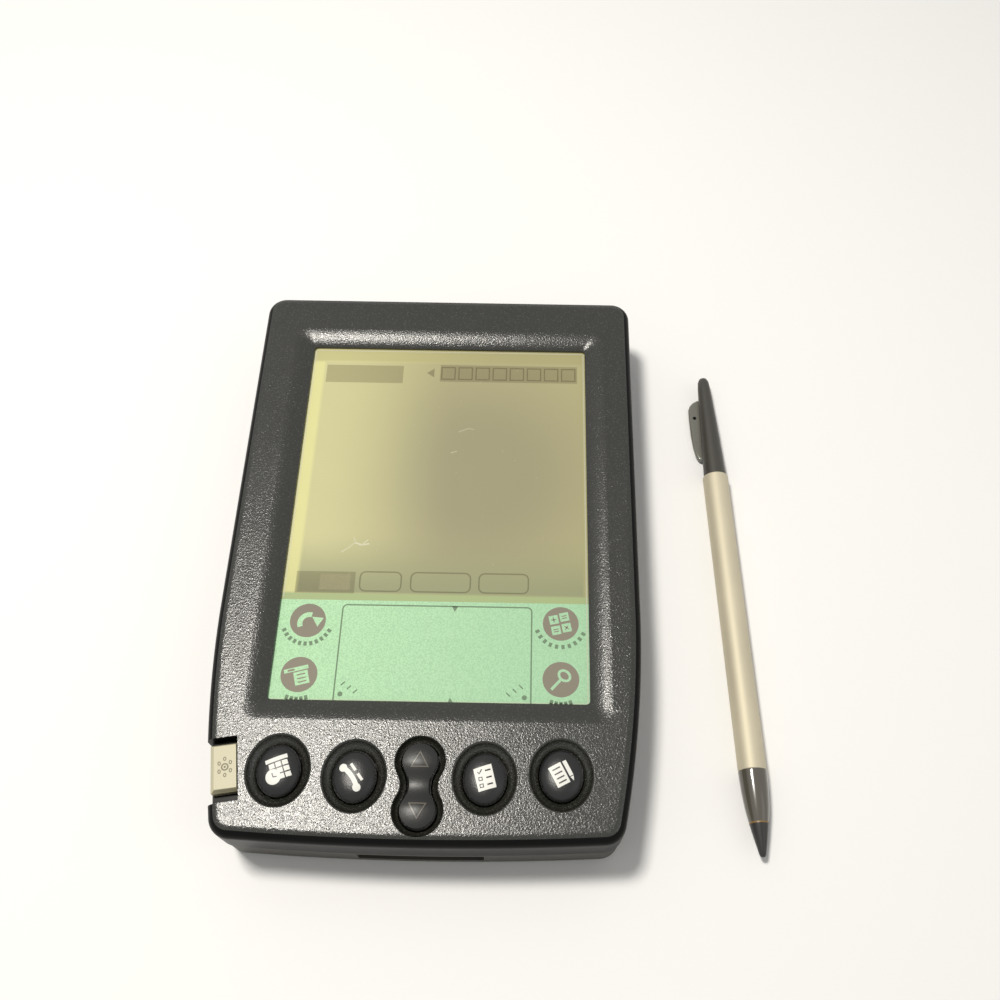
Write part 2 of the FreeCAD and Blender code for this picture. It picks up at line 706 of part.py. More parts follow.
def front_case():
    """The moulded front: rolled edge, bevelled window, dished wells, bosses and rocker bearings."""
    body = new_body("front_case")
    shell = Profile(body, "CaseOutline", height=parting_height).case_outline(0.0)
    pad(shell, "Shell", case_thickness - parting_height)
    round_edges(body, "RolledEdge", edge_roll, level_at(case_thickness))
    hollow = Profile(body, "HollowOutline", height=parting_height).case_outline(wall)
    pocket(hollow, "Hollow", face_inside - parting_height, turned=True)
    posts = circles(Profile(body, "BossCircles", height=board_top), boss_spots, boss_radius)
    pad(posts, "Bosses", face_inside - board_top + face_thickness / 2)
    bearing = Profile(body, "BearingOutline", height=pivot_height - bearing_drop)
    for side in (1, -1):
        bearing.rectangle(bearing_x * side, rocker_y, bearing_width, bearing_length)
    pad(bearing, "RockerBearings", face_inside - pivot_height + bearing_drop + face_thickness / 4)
    window = Profile(body, "WindowOutline", height=case_thickness)
    window.round_rectangle(0.0, window_y, window_width, window_length, window_corner)
    pocket(window, "Window", face_thickness)
    rim = Profile(body, "BevelRim", height=case_thickness)
    rim.rectangle(as_size(0.0), window_y, window_width + window_bevel * 2, window_length + window_bevel * 2)
    lip = Profile(body, "BevelLip", height=lip_height)
    lip.rectangle(as_size(0.0), window_y, window_width, window_length)
    loft(body, "WindowBevel", [rim, lip], cut=True)
    wells = []
    for name, x, y in (("Outer", outer_key_x, outer_key_y), ("Inner", inner_key_x, inner_key_y)):
        brim = Profile(body, name + "WellBrim", height=case_thickness).oval(x, y, well_width, well_length)
        floor_height = case_thickness - well_depth
        floor = Profile(body, name + "WellFloor", height=floor_height)
        floor.oval(x, y, key_width + key_gap * 2, key_length + key_gap * 2)
        wells.append(loft(body, name + "Well", [brim, floor], cut=True))
        hole = Profile(body, name + "KeyHole", height=case_thickness)
        hole.oval(x, y, key_width + key_gap * 2, key_length + key_gap * 2)
        wells.append(pocket(hole, name + "Hole", face_thickness))
    other_side = body.newObject("PartDesign::Mirrored", "OtherWells")
    other_side.Originals = wells
    other_side.MirrorPlane = (origin_feature(body, "YZ_Plane"), [""])
    body.Tip = other_side
    well = Profile(body, "RockerWellOutline", height=case_thickness).dumbbell(rocker_well_rim)
    pocket(well, "RockerWell", rocker_well)
    hole = Profile(body, "RockerHoleOutline", height=case_thickness).dumbbell(rocker_gap)
    pocket(hole, "RockerHole", face_thickness)
    notch = Profile(body, "PowerNotchOutline", height=case_thickness).turn(power_x, power_y, power_tilt)
    play = key_gap * 2
    notch.rectangle(-power_width / 2, as_size(0.0), power_width * 2 + play, power_length + play)
    pocket(notch, "PowerNotch", case_thickness - notch_floor)
    pivots = Profile(body, "PivotHoles", "YZ_Plane").circle(rocker_y, pivot_height, pivot_radius + press_gap)
    pocket(pivots, "PivotBores", pivot_span, both_ways=True)
    pilots = circles(Profile(body, "PilotCircles", height=board_top), boss_spots, screw_radius + press_gap)
    pocket(pilots, "PilotHoles", pilot_depth, turned=True)
    slot = Profile(body, "InfraredOutline", "XZ_Plane", -(case_length / 2 + 1))
    slot.rectangle(infrared_x, parting_height, infrared_width, infrared_reach * 2)
    pocket(slot, "InfraredSlot", infrared_depth, turned=True)
    return body


def rear_case():
    """The moulded rear: battery bay, pen silo, screw posts, wheel scallop and dock opening."""
    body = new_body("rear_case")
    shell = Profile(body, "CaseOutline").case_outline(parting_step)
    pad(shell, "Shell", parting_height)
    round_edges(body, "RearEdge", rear_edge, level_at(as_size(0.0)))
    hollow = Profile(body, "HollowOutline", height=wall).case_outline(wall + parting_step)
    pocket(hollow, "Hollow", parting_height - wall, turned=True)
    bay = Profile(body, "BayOutline", height=wall / 2)
    bay.rectangle(bay_x, bay_y, bay_width + bay_wall * 2, bay_length + bay_wall * 2)
    pad(bay, "BayWalls", bay_roof + bay_cap - wall / 2)
    silo = Profile(body, "SiloOutline", height=wall / 2)
    inner_x = silo_x - silo_radius - silo_wall
    outer_x = case_width / 2 - wall * 0.75
    lower_x = silo_x + silo_radius + silo_wall
    silo_head = case_length / 2 - wall / 2
    silo_foot = case_length / 2 - silo_length - wall
    bend_y = taper_start - silo_bend
    silo.polygon([(inner_x, silo_head), (inner_x, silo_foot), (lower_x, silo_foot), (outer_x, bend_y),
                  (outer_x, silo_head)])
    pad(silo, "SiloBlock", parting_height - wall / 2 - press_gap * 2)
    posts = circles(Profile(body, "PostCircles", height=wall / 2), boss_spots, post_radius)
    pad(posts, "ScrewPosts", board_base - wall / 2)
    pocket(Profile(body, "BayHollowOutline").rectangle(bay_x, bay_y, bay_width, bay_length), "BatteryBay",
           bay_roof, turned=True)
    ledge = Profile(body, "DoorOutline")
    ledge.rectangle(bay_x, bay_y, bay_width + door_ledge * 2, bay_length + door_ledge * 2)
    pocket(ledge, "DoorLedge", door_thickness, turned=True)
    bore = Profile(body, "SiloCircle", "XZ_Plane", -(case_length / 2 + 1))
    bore.circle(silo_x, silo_z, silo_radius)
    pocket(bore, "PenSilo", silo_length + 1, turned=True)
    heads = circles(Profile(body, "HeadCircles"), boss_spots, screw_head_radius + screw_clearance)
    pocket(heads, "HeadRecesses", screw_head_depth, turned=True)
    shanks = circles(Profile(body, "ShankCircles"), boss_spots, screw_radius + screw_clearance)
    pocket(shanks, "ShankHoles", board_base, turned=True)
    slot = Profile(body, "InfraredOutline", "XZ_Plane", -(case_length / 2 + 1))
    slot.rectangle(infrared_x, parting_height, infrared_width, infrared_reach * 2)
    pocket(slot, "InfraredSlot", infrared_depth, turned=True)
    scallop = Profile(body, "ScallopCircle", height=wheel_base - scallop_drop)
    scallop.circle(-(case_width / 2 + scallop_radius - scallop_depth), wheel_y, scallop_radius)
    pocket(scallop, "WheelScallop", parting_height - wheel_base + scallop_drop * 2, turned=True)
    window = Profile(body, "WheelSlotCircle", height=wheel_base - wheel_gap)
    window.circle(wheel_x, wheel_y, wheel_radius + wheel_gap * 2)
    pocket(window, "WheelSlot", wheel_thickness + wheel_gap * 2, turned=True)
    mouth = Profile(body, "DockOutline", "XZ_Plane", case_length / 2 + 1)
    mouth.rectangle(as_size(0.0), dock_z, dock_width, dock_height)
    pocket(mouth, "DockMouth", dock_depth)
    reset = Profile(body, "ResetCircle").circle(reset_x, reset_y, reset_radius)
    pocket(reset, "ResetHole", wall, turned=True)
    vents = Profile(body, "VentOutlines")
    for step in range(SOUNDER_VENTS):
        offset = vent_pitch * (step - (SOUNDER_VENTS - 1) / 2)
        vents.rectangle(sounder_x + offset, sounder_y, vent_width, vent_length)
    pocket(vents, "SounderVents", wall, turned=True)
    return body


def battery_door():
    """The flush door over the cells, with a dished thumb catch."""
    body = new_body("battery_door")
    plate = Profile(body, "DoorPlateOutline")
    slack = door_ledge * 2 - door_gap * 2
    plate.round_rectangle(bay_x, bay_y, bay_width + slack, bay_length + slack, door_corner)
    pad(plate, "DoorPlate", door_thickness - press_gap)
    catch = Profile(body, "ThumbCatchOutline")
    catch.oval(bay_x - bay_width / 2 + catch_inset, bay_y, catch_width, catch_length)
    pocket(catch, "ThumbCatch", catch_depth, turned=True)
    return body


def case_screws():
    """Four pan-head screws that clamp rear case, board and front case together."""
    screws = []
    for step, (x, y) in enumerate(boss_spots):
        base = (x, y, screw_head_depth - screw_head_height)
        head = rod("screw_head_%d" % step, screw_head_radius, screw_head_height, base, finished=False)
        seat = (x, y, screw_head_depth)
        shank = rod("screw_shank_%d" % step, screw_radius, screw_length, seat, finished=False)
        screws.append(fused("screw_%d" % step, [head, shank], finished=False))
    return group("case_screws", screws)


def touch_stack():
    """Gasket, printed touch film and touch glass, pressed up against the back of the window."""
    half_width = glass_width / 2
    foot = window_y - glass_length / 2
    head = window_y + glass_length / 2
    block("touch_film", (-half_width, foot, film_base), (half_width, head, film_top))
    block("touch_glass", (-half_width, foot, glass_base), (half_width, head, film_base))
    outer = block("gasket_sheet", (-half_width, foot, film_top), (half_width, head, face_inside), False)
    low = (-half_width + gasket_rim, foot + gasket_rim, film_top)
    high = (half_width - gasket_rim, head - gasket_rim, face_inside)
    opening = block("gasket_opening", low, high, False)
    cut("window_gasket", outer, opening)


def display_stack():
    """Polarizer, two display glasses with a bare ledge at the top, and the backlight sheet."""
    half = display_width / 2
    shoulder = display_head - display_ledge

    def layer(label, base, top, head=display_head, finished=False):
        return block(label, (-half, display_foot, base), (half, head, top), finished)

    layer("front_polarizer", polarizer_base, polarizer_base + polarizer_thickness, shoulder, True)
    rear = layer("rear_glass", rear_glass_base, front_glass_base)
    front = layer("front_glass", front_glass_base, polarizer_base, shoulder)
    fused("display_panel", [rear, front])
    layer("backlight_sheet", backlight_base, rear_glass_base, finished=True)


def display_frame():
    """The carrier that holds the display over the main board."""
    body = new_body("display_frame")
    outer = Profile(body, "FrameOutline", height=board_top)
    grow = (frame_wall + frame_gap) * 2
    outer.rectangle(as_size(0.0), display_y, display_width + grow, display_length + grow)
    pad(outer, "Frame", glass_base - board_top)
    seat = Profile(body, "SeatOutline", height=backlight_base)
    seat.rectangle(as_size(0.0), display_y, display_width + frame_gap * 2, display_length + frame_gap * 2)
    pocket(seat, "Seat", glass_base - backlight_base, turned=True)
    relief = Profile(body, "ReliefOutline", height=board_top)
    shrink = frame_rest * 2
    relief.rectangle(as_size(0.0), display_y, display_width - shrink, display_length - shrink)
    pocket(relief, "Relief", backlight_base - board_top - frame_web, turned=True)
    exit_slot = Profile(body, "RibbonSlotOutline", height=front_glass_base - ribbon_thickness / 2)
    exit_slot.rectangle(as_size(0.0), display_head + frame_rest, ribbon_width + frame_rest, slot_reach)
    pocket(exit_slot, "RibbonSlot", glass_base - front_glass_base + frame_web / 2, turned=True)
    return body


def flat_cable(label, width, corners, x=0.0):
    """A flat flexible cable, drawn as its side view and padded to its width."""
    body = new_body(label)
    side = Profile(body, "CableSide", "YZ_Plane", as_size(x)).polygon(corners)
    pad(side, "Cable", width, both_ways=True)
    return body


def display_ribbon():
    thin = ribbon_thickness
    start = display_head - display_ledge + ribbon_overlap
    turn_y = display_head + ribbon_reach
    bottom = board_top + socket_mouth
    end = turn_y + ribbon_grip
    return flat_cable("display_ribbon", ribbon_width, [
        (start, front_glass_base), (turn_y, front_glass_base), (turn_y, bottom), (end, bottom),
        (end, bottom + thin), (turn_y + thin, bottom + thin), (turn_y + thin, front_glass_base + thin),
        (start, front_glass_base + thin),
    ])


def touch_tail():
    thin = ribbon_thickness
    start = window_y - glass_length / 2
    fold = bay_y - bay_length / 2 - tail_clearance
    level = glass_base + tail_level
    return flat_cable("touch_tail", tail_width, [
        (start, level), (fold, level), (fold, board_top), (fold - thin, board_top),
        (fold - thin, level + thin), (start, level + thin),
    ], tail_x)


def main_board():
    """The main circuit board, cut away round the battery bay."""
    body = new_body("main_board")
    outline = Profile(body, "BoardOutline", height=board_base).case_outline(board_inset)
    pad(outline, "Board", board_top - board_base)
    bay = Profile(body, "BayCutout", height=board_base)
    grow = (bay_wall + board_gap) * 2
    bay.rectangle(bay_x, bay_y, bay_width + grow, bay_length + grow)
    pocket(bay, "BayOpening", turned=True)
    holes = Profile(body, "ScrewCircles", height=board_base)
    pocket(circles(holes, boss_spots, screw_radius + screw_clearance), "ScrewHoles", turned=True)
    return body


def slab(label, x, y, width, length, base, top):
    """A box about a centre, between two heights."""
    low = (as_size(x) - width / 2, as_size(y) - length / 2, base)
    high = (as_size(x) + width / 2, as_size(y) + length / 2, top)
    return block(label, low, high)


def chips():
    """Processor, display driver and power chip, each by its centre and size, under the main board."""
    places = (
        ("processor_chip", -6.0, 2.0, 20.0, 20.0),
        ("driver_chip", 16.0, 0.0, 12.0, 9.0),
        ("power_chip", -26.0, -8.0, 8.0, 6.0),
    )
    for label, x, y, width, length in places:
        slab(label, x, y, as_size(width), as_size(length), board_base - chip_height, board_base)


def memory_board():
    """The small memory board that plugs in under the main board."""
    slab("memory_board", memory_x, memory_y, memory_width, memory_length, memory_base, memory_top)
    head = memory_y + memory_length / 2
    half = memory_width / 2 - header_inset
    block("memory_header", (memory_x - half, head - header_start, memory_top),
          (memory_x + half, head - header_end, board_base))
    slab("memory_chip", memory_x, 0.0, memory_chip_width, memory_chip_length,
         memory_base - memory_chip_height, memory_base)


def keypad_membrane():
    """The rubber sheet over the board, with a raised pad under each key and rocker lobe."""
    body = new_body("keypad_membrane")
    sheet_outline = Profile(body, "SheetOutline", height=board_top)
    sheet_outline.round_rectangle(0.0, outer_key_y, membrane_width, membrane_length, membrane_corner)
    pad(sheet_outline, "Sheet", membrane_thickness)
    tongue = Profile(body, "TongueOutline", height=board_top)
    tongue.rectangle(as_size(0.0), tongue_y, tongue_width, tongue_length)
    pad(tongue, "Tongue", membrane_thickness)
    pads = Profile(body, "PadOutlines", height=board_top)
    for x, y in key_spots():
        pads.rectangle(x, y, pad_width, pad_width)
    for side in (1, -1):
        pads.rectangle(as_size(0.0), rocker_y + lobe_offset * side, pad_width, pad_width)
    pad(pads, "Pads", pad_height)
    return body


def key_spots():
    """The centres of the four application keys, left to right."""
    return (
        (-outer_key_x, outer_key_y),
        (-inner_key_x, inner_key_y),
        (inner_key_x, inner_key_y),
        (outer_key_x, outer_key_y),
    )


def application_key(label, x, y):
    """An oval domed key with its retaining tabs and the stem that presses the rubber pad."""
    body = new_body(label)
    tabs = Profile(body, "TabOutline", height=flange_base)
    tabs.rectangle(x, y, key_width + key_flange * 2, tab_length)
    pad(tabs, "Tabs", flange_top - flange_base)
    shoulder = key_top - key_dome
    cap = Profile(body, "CapOval", height=flange_base).oval(x, y, key_width, key_length)
    pad(cap, "Cap", shoulder - flange_base)
    rings = []
    for turn in DOME_TURNS:
        margin = key_dome * round(2 - 2 * math.cos(math.radians(turn)), 4)
        level = shoulder + key_dome * round(math.sin(math.radians(turn)), 4)
        ring = Profile(body, "DomeOval%d" % turn, height=level)
        rings.append(ring.oval(x, y, key_width - margin, key_length - margin))
    loft(body, "Dome", rings)
    stem = Profile(body, "StemOutline", height=key_foot).rectangle(x, y, stem_width, stem_width)
    pad(stem, "Stem", flange_base - key_foot)
    return body


def scroll_rocker():
    """The two-way scroll rocker: raised lobes, a saddle between them and pivot pins at its waist."""
    body = new_body("scroll_rocker")
    flange = Profile(body, "FlangeOutline", height=rocker_base).dumbbell(key_flange)
    pad(flange, "Flange", flange_top - flange_base)
    top = Profile(body, "RockerOutline", height=rocker_base).dumbbell(0.0)
    pad(top, "Rocker", key_top - rocker_base)
    saddle = Profile(body, "SaddleCircle", "YZ_Plane")
    saddle.circle(rocker_y, key_top + saddle_radius - saddle_depth, saddle_radius)
    pocket(saddle, "Saddle", case_width, both_ways=True)
    pins = Profile(body, "PinCircle", "YZ_Plane").circle(rocker_y, pivot_height, pivot_radius)
    pad(pins, "PivotPins", pin_span, both_ways=True)
    stems = Profile(body, "StemOutlines", height=key_foot)
    for side in (1, -1):
        stems.rectangle(as_size(0.0), rocker_y + lobe_offset * side, stem_width, stem_width)
    pad(stems, "Stems", pivot_height - key_foot)
    return body


def power_key():
    """The pale power key that closes a notch in the lower left corner, its outer edges bevelled."""
    body = new_body("power_key")
    top = Profile(body, "KeyOutline", height=power_foot)
    top.rectangle(as_size(0.0), as_size(0.0), power_width, power_length)
    pad(top, "Key", power_top - power_foot)
    inner_side = power_width.value / 2 - 0.01
    crown = level_at(power_top)
    round_edges(body, "Bevel", power_bevel, lambda box: crown(box) and box.XMin < inner_side, "Chamfer")
    foot = Profile(body, "FootOutline", height=power_foot)
    foot.rectangle(power_foot_x, as_size(0.0), power_foot_width, power_length)
    pad(foot, "Foot", flange_top - power_foot)
    body.Placement = Placement(Vector(), Rotation(Vector(0, 0, 1), power_tilt.value))
    body.setExpression("Placement.Base.x", power_x.text)
    body.setExpression("Placement.Base.y", power_y.text)
    body.setExpression("Placement.Rotation.Angle", power_tilt.text)
    return body


def contrast_wheel():
    """The knurled wheel that shows in a scallop of the left side, and the control that it turns."""
    body = new_body("contrast_wheel")
    disc = Profile(body, "WheelCircle", height=wheel_base).circle(0.0, 0.0, wheel_radius)
    pad(disc, "Wheel", wheel_thickness)
    notch = Profile(body, "ToothGap", height=wheel_base)
    rim = wheel_radius + 0.1
    notch.polygon([(wheel_radius - tooth_depth, 0.0), (rim, -tooth_depth), (rim, tooth_depth)])
    gap = pocket(notch, "Gap", wheel_thickness, turned=True)
    ring = body.newObject("PartDesign::PolarPattern", "Knurl")
    ring.Originals = [gap]
    ring.Axis = (origin_feature(body, "Z_Axis"), [""])
    ring.Angle = 360
    ring.Occurrences = WHEEL_TEETH
    body.Tip = ring
    hub = Profile(body, "HubCircle", height=wheel_base).circle(0.0, 0.0, axle_radius + press_gap)
    pocket(hub, "Hub", wheel_thickness, turned=True)
    body.setExpression("Placement.Base.x", wheel_x.text)
    body.setExpression("Placement.Base.y", wheel_y.text)
    return body


def contrast_control():
    """The potentiometer under the board, with the axle that carries the wheel."""
    top = wheel_base + wheel_thickness + press_gap * 2
    low = (wheel_x - control_half, wheel_y - control_half, top)
    high = (wheel_x + control_half, wheel_y + control_half, board_base)
    housing = block("control_housing", low, high, False)
    foot = (wheel_x, wheel_y, wheel_base)
    axle = rod("control_axle", axle_radius, board_base - wheel_base, foot, finished=False)
    fused("contrast_control", [housing, axle])


def battery_cells():
    """Two AAA cells side by side, facing opposite ways."""
    cells = []
    for step, side in enumerate((1, -1)):
        y = bay_y + (cell_radius + cell_gap) * side
        z = door_thickness + cell_gap + cell_radius
        along = Vector(side, 0, 0)
        start = bay_x - (cell_length / 2) * side
        can = rod("can_%d" % step, cell_radius, cell_length - nub_length, (start, y, z), along, False)
        nub = rod("nub_%d" % step, nub_radius, cell_length, (start, y, z), along, False)
        cells.append(fused("cell_%d" % step, [can, nub], finished=False))
    return group("battery_cells", cells)


def battery_contacts():
    """A plate and a sprung leaf for each cell at both ends of the bay."""
    plates = []
    z = door_thickness + cell_gap + cell_radius
    reach = (bay_width - cell_length) / 2 - press_gap * 2
    for end_name, side in (("left", -1), ("right", 1)):
        end = bay_x + (bay_width / 2) * side
        for row_name, row in (("lower", -1), ("upper", 1)):
            y = bay_y + (cell_radius + cell_gap) * row
            spots = sorted((end, end - plate_thickness * side), key=lambda spot: spot.value)
            plate = block("plate_%s_%s" % (end_name, row_name), (spots[0], y - plate_half, plate_low),
                          (spots[1], y + plate_half, plate_high), False)
            spots = sorted((end, end - reach * side), key=lambda spot: spot.value)
            leaf = block("leaf_%s_%s" % (end_name, row_name), (spots[0], y - leaf_half, z - leaf_half),
                         (spots[1], y + leaf_half, z + leaf_half), False)
            plates.append(fused("contact_%s_%s" % (end_name, row_name), [plate, leaf], finished=False))
    return group("battery_contacts", plates)


def sounder_disc():
    """The piezo disc on the floor of the rear case, over its vents."""
    return rod("sounder_disc", sounder_radius, sounder_thickness, (sounder_x, sounder_y, wall))


def infrared_parts():
    """The dark window in the top edge and the transceiver behind it."""
    body = new_body("infrared_window")
    front = Profile(body, "WindowOutline", "XZ_Plane", -(case_length / 2 - parting_step))
    slack = press_gap * 2
    front.round_rectangle(infrared_x, parting_height, infrared_width - slack, infrared_reach * 2 - slack,
                          infrared_corner)
    pad(front, "Window", wall)
    slab("infrared_module", infrared_x, module_foot + module_length / 2, module_width, module_length,
         board_base - module_height, board_base)


def dock_parts():
    """The dock connector behind the slot in the bottom edge, and its row of contacts."""
    face = -(case_length / 2 - wall - parting_step - dock_setback)
    low = dock_z - dock_height / 2
    high = dock_z + dock_height / 2
    half = dock_width / 2
    back = face + dock_length
    housing = block("dock_housing", (-half, face, low - dock_wall), (half, back, board_base), False)
    slot_half = half - dock_side
    slot_back = face + dock_slot_depth
    slot_foot = low + dock_lip
    slot_head = high - dock_lip
    mouth = block("dock_slot", (-slot_half, face, slot_foot), (slot_half, slot_back, slot_head), False)
    cut("dock_connector", housing, mouth)
    strips = []
    for step in range(DOCK_CONTACTS):
        x = dock_pitch * (step - (DOCK_CONTACTS - 1) / 2)
        start = (x - contact_half, face + contact_start, slot_head - contact_thickness)
        strips.append(block("strip_%d" % step, start, (x + contact_half, slot_back, slot_head), False))
    group("dock_contacts", strips)


def small_parts():
    """Power switch, reset switch, display socket and backup capacitor."""
    slab("power_switch", switch_x, switch_y, switch_width, switch_length,
         board_top, board_top + switch_height)
    slab("reset_switch", reset_x, reset_y, reset_switch_half * 2, reset_switch_half * 2,
         board_base - reset_switch_height, board_base)
    rod("backup_capacitor", capacitor_radius, capacitor_height,
        (capacitor_x, capacitor_y, board_base - capacitor_height))
    slab("display_socket", 0.0, display_head + socket_start + socket_length / 2, ribbon_width, socket_length,
         board_top, board_top + socket_height)


def place_pen(body):
    """Lay a pen piece, drawn along its own Y from the nib, on the table beside the case."""
    body.Placement = Placement(Vector(), Rotation(Vector(0, 0, 1), pen_turn.value))
    body.setExpression("Placement.Base.x", pen_x.text)
    body.setExpression("Placement.Base.y", pen_y.text)
    body.setExpression("Placement.Base.z", pen_radius.text)
    body.setExpression("Placement.Rotation.Angle", pen_turn.text)
    return body


def pen():
    """The pen: nib, glossy collar, metal barrel, and a cap with a clip that carries the reset pin."""
    nib = new_body("pen_nib")
    outline = Profile(nib, "NibSide").polygon([
        (0.0, 0.0), (nib_tip / 2, 0.0), (nib_tip, nib_tip / 2), (nib_radius, nib_length), (0.0, nib_length),
    ])
    spin(nib, outline, "Nib")
    place_pen(nib)
    collar = new_body("pen_collar")
    outline = Profile(collar, "CollarSide").polygon([
        (0.0, nib_length), (nib_radius, nib_length), (pen_radius, collar_end), (pen_bore, collar_end),
        (pen_bore, collar_end + spigot_length), (0.0, collar_end + spigot_length),
    ])
    spin(collar, outline, "Collar")
    place_pen(collar)
    barrel = new_body("pen_barrel")
    outline = Profile(barrel, "BarrelSide").polygon([
        (pen_bore, collar_end), (pen_radius, collar_end), (pen_radius, barrel_end), (pen_bore, barrel_end),
    ])
    spin(barrel, outline, "Barrel")
    place_pen(barrel)
    cap = new_body("pen_cap")
    spigot_radius = pen_bore - press_gap
    outline = Profile(cap, "CapSide").polygon([
        (pin_radius, barrel_end - spigot_length), (spigot_radius, barrel_end - spigot_length),
        (spigot_radius, barrel_end), (cap_root, barrel_end), (cap_tip, pen_length - cap_tip),
        (cap_tip / 2, pen_length), (0.0, pen_length), (0.0, barrel_end), (pin_radius, barrel_end),
    ])
    spin(cap, outline, "Cap")
    place_pen(cap)
    pin = new_body("reset_pin")
    pin_start = barrel_end - spigot_length - pin_length
    outline = Profile(pin, "PinSide").polygon([
        (0.0, pin_start), (pin_radius, pin_start),
        (pin_radius, barrel_end), (0.0, barrel_end),
    ])
    spin(pin, outline, "Pin")
    place_pen(pin)
    clip = new_body("pen_clip")
    plate = Profile(clip, "ClipOutline", height=clip_base)
    near = barrel_end + clip_start
    far = barrel_end + clip_end
    plate.polygon([
        (clip_left, near), (clip_left, far - clip_slope), (clip_left + clip_slope / 2, far),
        (clip_right - clip_slope / 2, far), (clip_right, far - clip_slope), (clip_right, near),
    ])
    pad(plate, "Clip", clip_thickness)
    cone_end = pen_length - cap_tip
    seat = Profile(clip, "SeatSide").polygon([
        (0.0, barrel_end), (cap_root, barrel_end), (cap_tip, cone_end), (0.0, cone_end),
    ])
    spin(clip, seat, "Seat", cut=True)
    place_pen(clip)


front_case()
rear_case()
battery_door()
case_screws()
touch_stack()
display_stack()
display_frame()
display_ribbon()
touch_tail()
main_board()
chips()
memory_board()
keypad_membrane()
for label, spot in zip(("calendar_key", "contacts_key", "tasks_key", "notes_key"), key_spots()):
    application_key(label, *spot)
scroll_rocker()
power_key()
contrast_wheel()
contrast_control()
battery_cells()
battery_contacts()
sounder_disc()
infrared_parts()
dock_parts()
small_parts()
pen()

document.recompute()
faults = [item.Name for item in document.Objects if {"Invalid", "Error"} & set(item.State)]
for item in sub_parts:
    if item.Shape.isNull() or not item.Shape.isValid():
        faults.append(item.Label)
if faults:
    raise RuntimeError("failed: " + ", ".join(faults))

os.makedirs("parts", exist_ok=True)
for item in sub_parts:
    item.Shape.exportStep("parts/%s.step" % item.Label)
print("%d sub-parts written" % len(sub_parts))
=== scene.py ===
# %% [markdown]
# A palm-size pen organiser lies on a pale table with its pen beside it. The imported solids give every
# piece its place, so this file only dresses them: it makes smoother shells, prints, and finishes.
# Everything is in metres. X runs to the right, Y to the top of the case, and Z out of the screen.

# %% Load the frame
import bmesh
import bpy
import math
from mathutils import Matrix, Vector
from mathutils.bvhtree import BVHTree


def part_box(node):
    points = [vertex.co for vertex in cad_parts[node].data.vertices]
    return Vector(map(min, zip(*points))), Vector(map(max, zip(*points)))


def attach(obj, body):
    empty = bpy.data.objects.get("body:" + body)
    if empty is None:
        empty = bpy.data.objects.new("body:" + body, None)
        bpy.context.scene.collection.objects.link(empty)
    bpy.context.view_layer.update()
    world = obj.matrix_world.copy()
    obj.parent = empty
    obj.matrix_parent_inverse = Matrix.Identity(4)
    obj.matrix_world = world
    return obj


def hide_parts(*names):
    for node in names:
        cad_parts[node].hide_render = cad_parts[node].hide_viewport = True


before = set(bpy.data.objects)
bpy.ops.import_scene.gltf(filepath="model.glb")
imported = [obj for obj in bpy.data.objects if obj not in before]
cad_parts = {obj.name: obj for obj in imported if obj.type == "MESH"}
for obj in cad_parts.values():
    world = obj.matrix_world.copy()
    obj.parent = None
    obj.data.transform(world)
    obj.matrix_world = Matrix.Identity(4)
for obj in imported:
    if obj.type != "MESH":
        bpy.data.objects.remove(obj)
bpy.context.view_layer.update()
MM = 0.001


def placed(name, data):
    """A new object at the origin of the scene."""
    thing = bpy.data.objects.new(name, data)
    bpy.context.collection.objects.link(thing)
    return thing


print("nodes in the frame:", len(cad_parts))

# %% [markdown]
# The camera comes first, because every later choice is judged through it. A square picture with a
# focal length worked out from the known size of the case gives the same perspective as a phone held
# over the table. The small shift moves the picture's centre without turning the camera.

# %% Camera
CAMERA_PLACE = (0.017512, -0.091404, 0.202213)
CAMERA_TURN = (0.495235, -0.005686, 0.016588)
FOCAL_PIXELS = 1034.19
PICTURE_PIXELS = 1000.0
PRINCIPAL_COLUMN = 520.0

camera_data = bpy.data.cameras.new("camera")
camera_data.sensor_width = 36.0
camera_data.lens = 36.0 * FOCAL_PIXELS / PICTURE_PIXELS
camera_data.shift_x = (PICTURE_PIXELS / 2 - PRINCIPAL_COLUMN) / PICTURE_PIXELS
camera_data.clip_start = 0.01
camera = placed("camera", camera_data)
camera.location = CAMERA_PLACE
camera.rotation_euler = CAMERA_TURN
bpy.context.scene.camera = camera
bpy.context.scene.view_settings.view_transform = "Standard"

# %% [markdown]
# Light on a black grained case is mostly reflection. A small warm lamp stands where the lower left of
# the case mirrors it towards the camera, so that the grain sparkles there and dims towards the right.
# Two weak lamps soften its shadows.
# The world is white to the camera and to mirror rays, and a plain grey to everything else.

# %% Lights and world
def area_lamp(name, place, target, size, power, colour=(1.0, 1.0, 1.0)):
    """A square lamp that faces a target point."""
    data = bpy.data.lights.new(name, "AREA")
    data.size = size
    data.energy = power
    data.color = colour
    lamp = placed(name, data)
    lamp.location = place
    lamp.rotation_euler = (Vector(target) - Vector(place)).to_track_quat("-Z", "Y").to_euler()
    return lamp


area_lamp("glint_lamp", (-0.147, 0.063, 0.60), (0.0, -0.02, 0.0), 0.10, 2.9, (1.0, 0.96, 0.88))
area_lamp("soft_lamp", (-0.35, 0.25, 0.75), (0.0, 0.0, 0.0), 0.6, 0.2)
area_lamp("side_lamp", (0.55, -0.15, 0.45), (0.0, 0.0, 0.0), 0.35, 0.2)


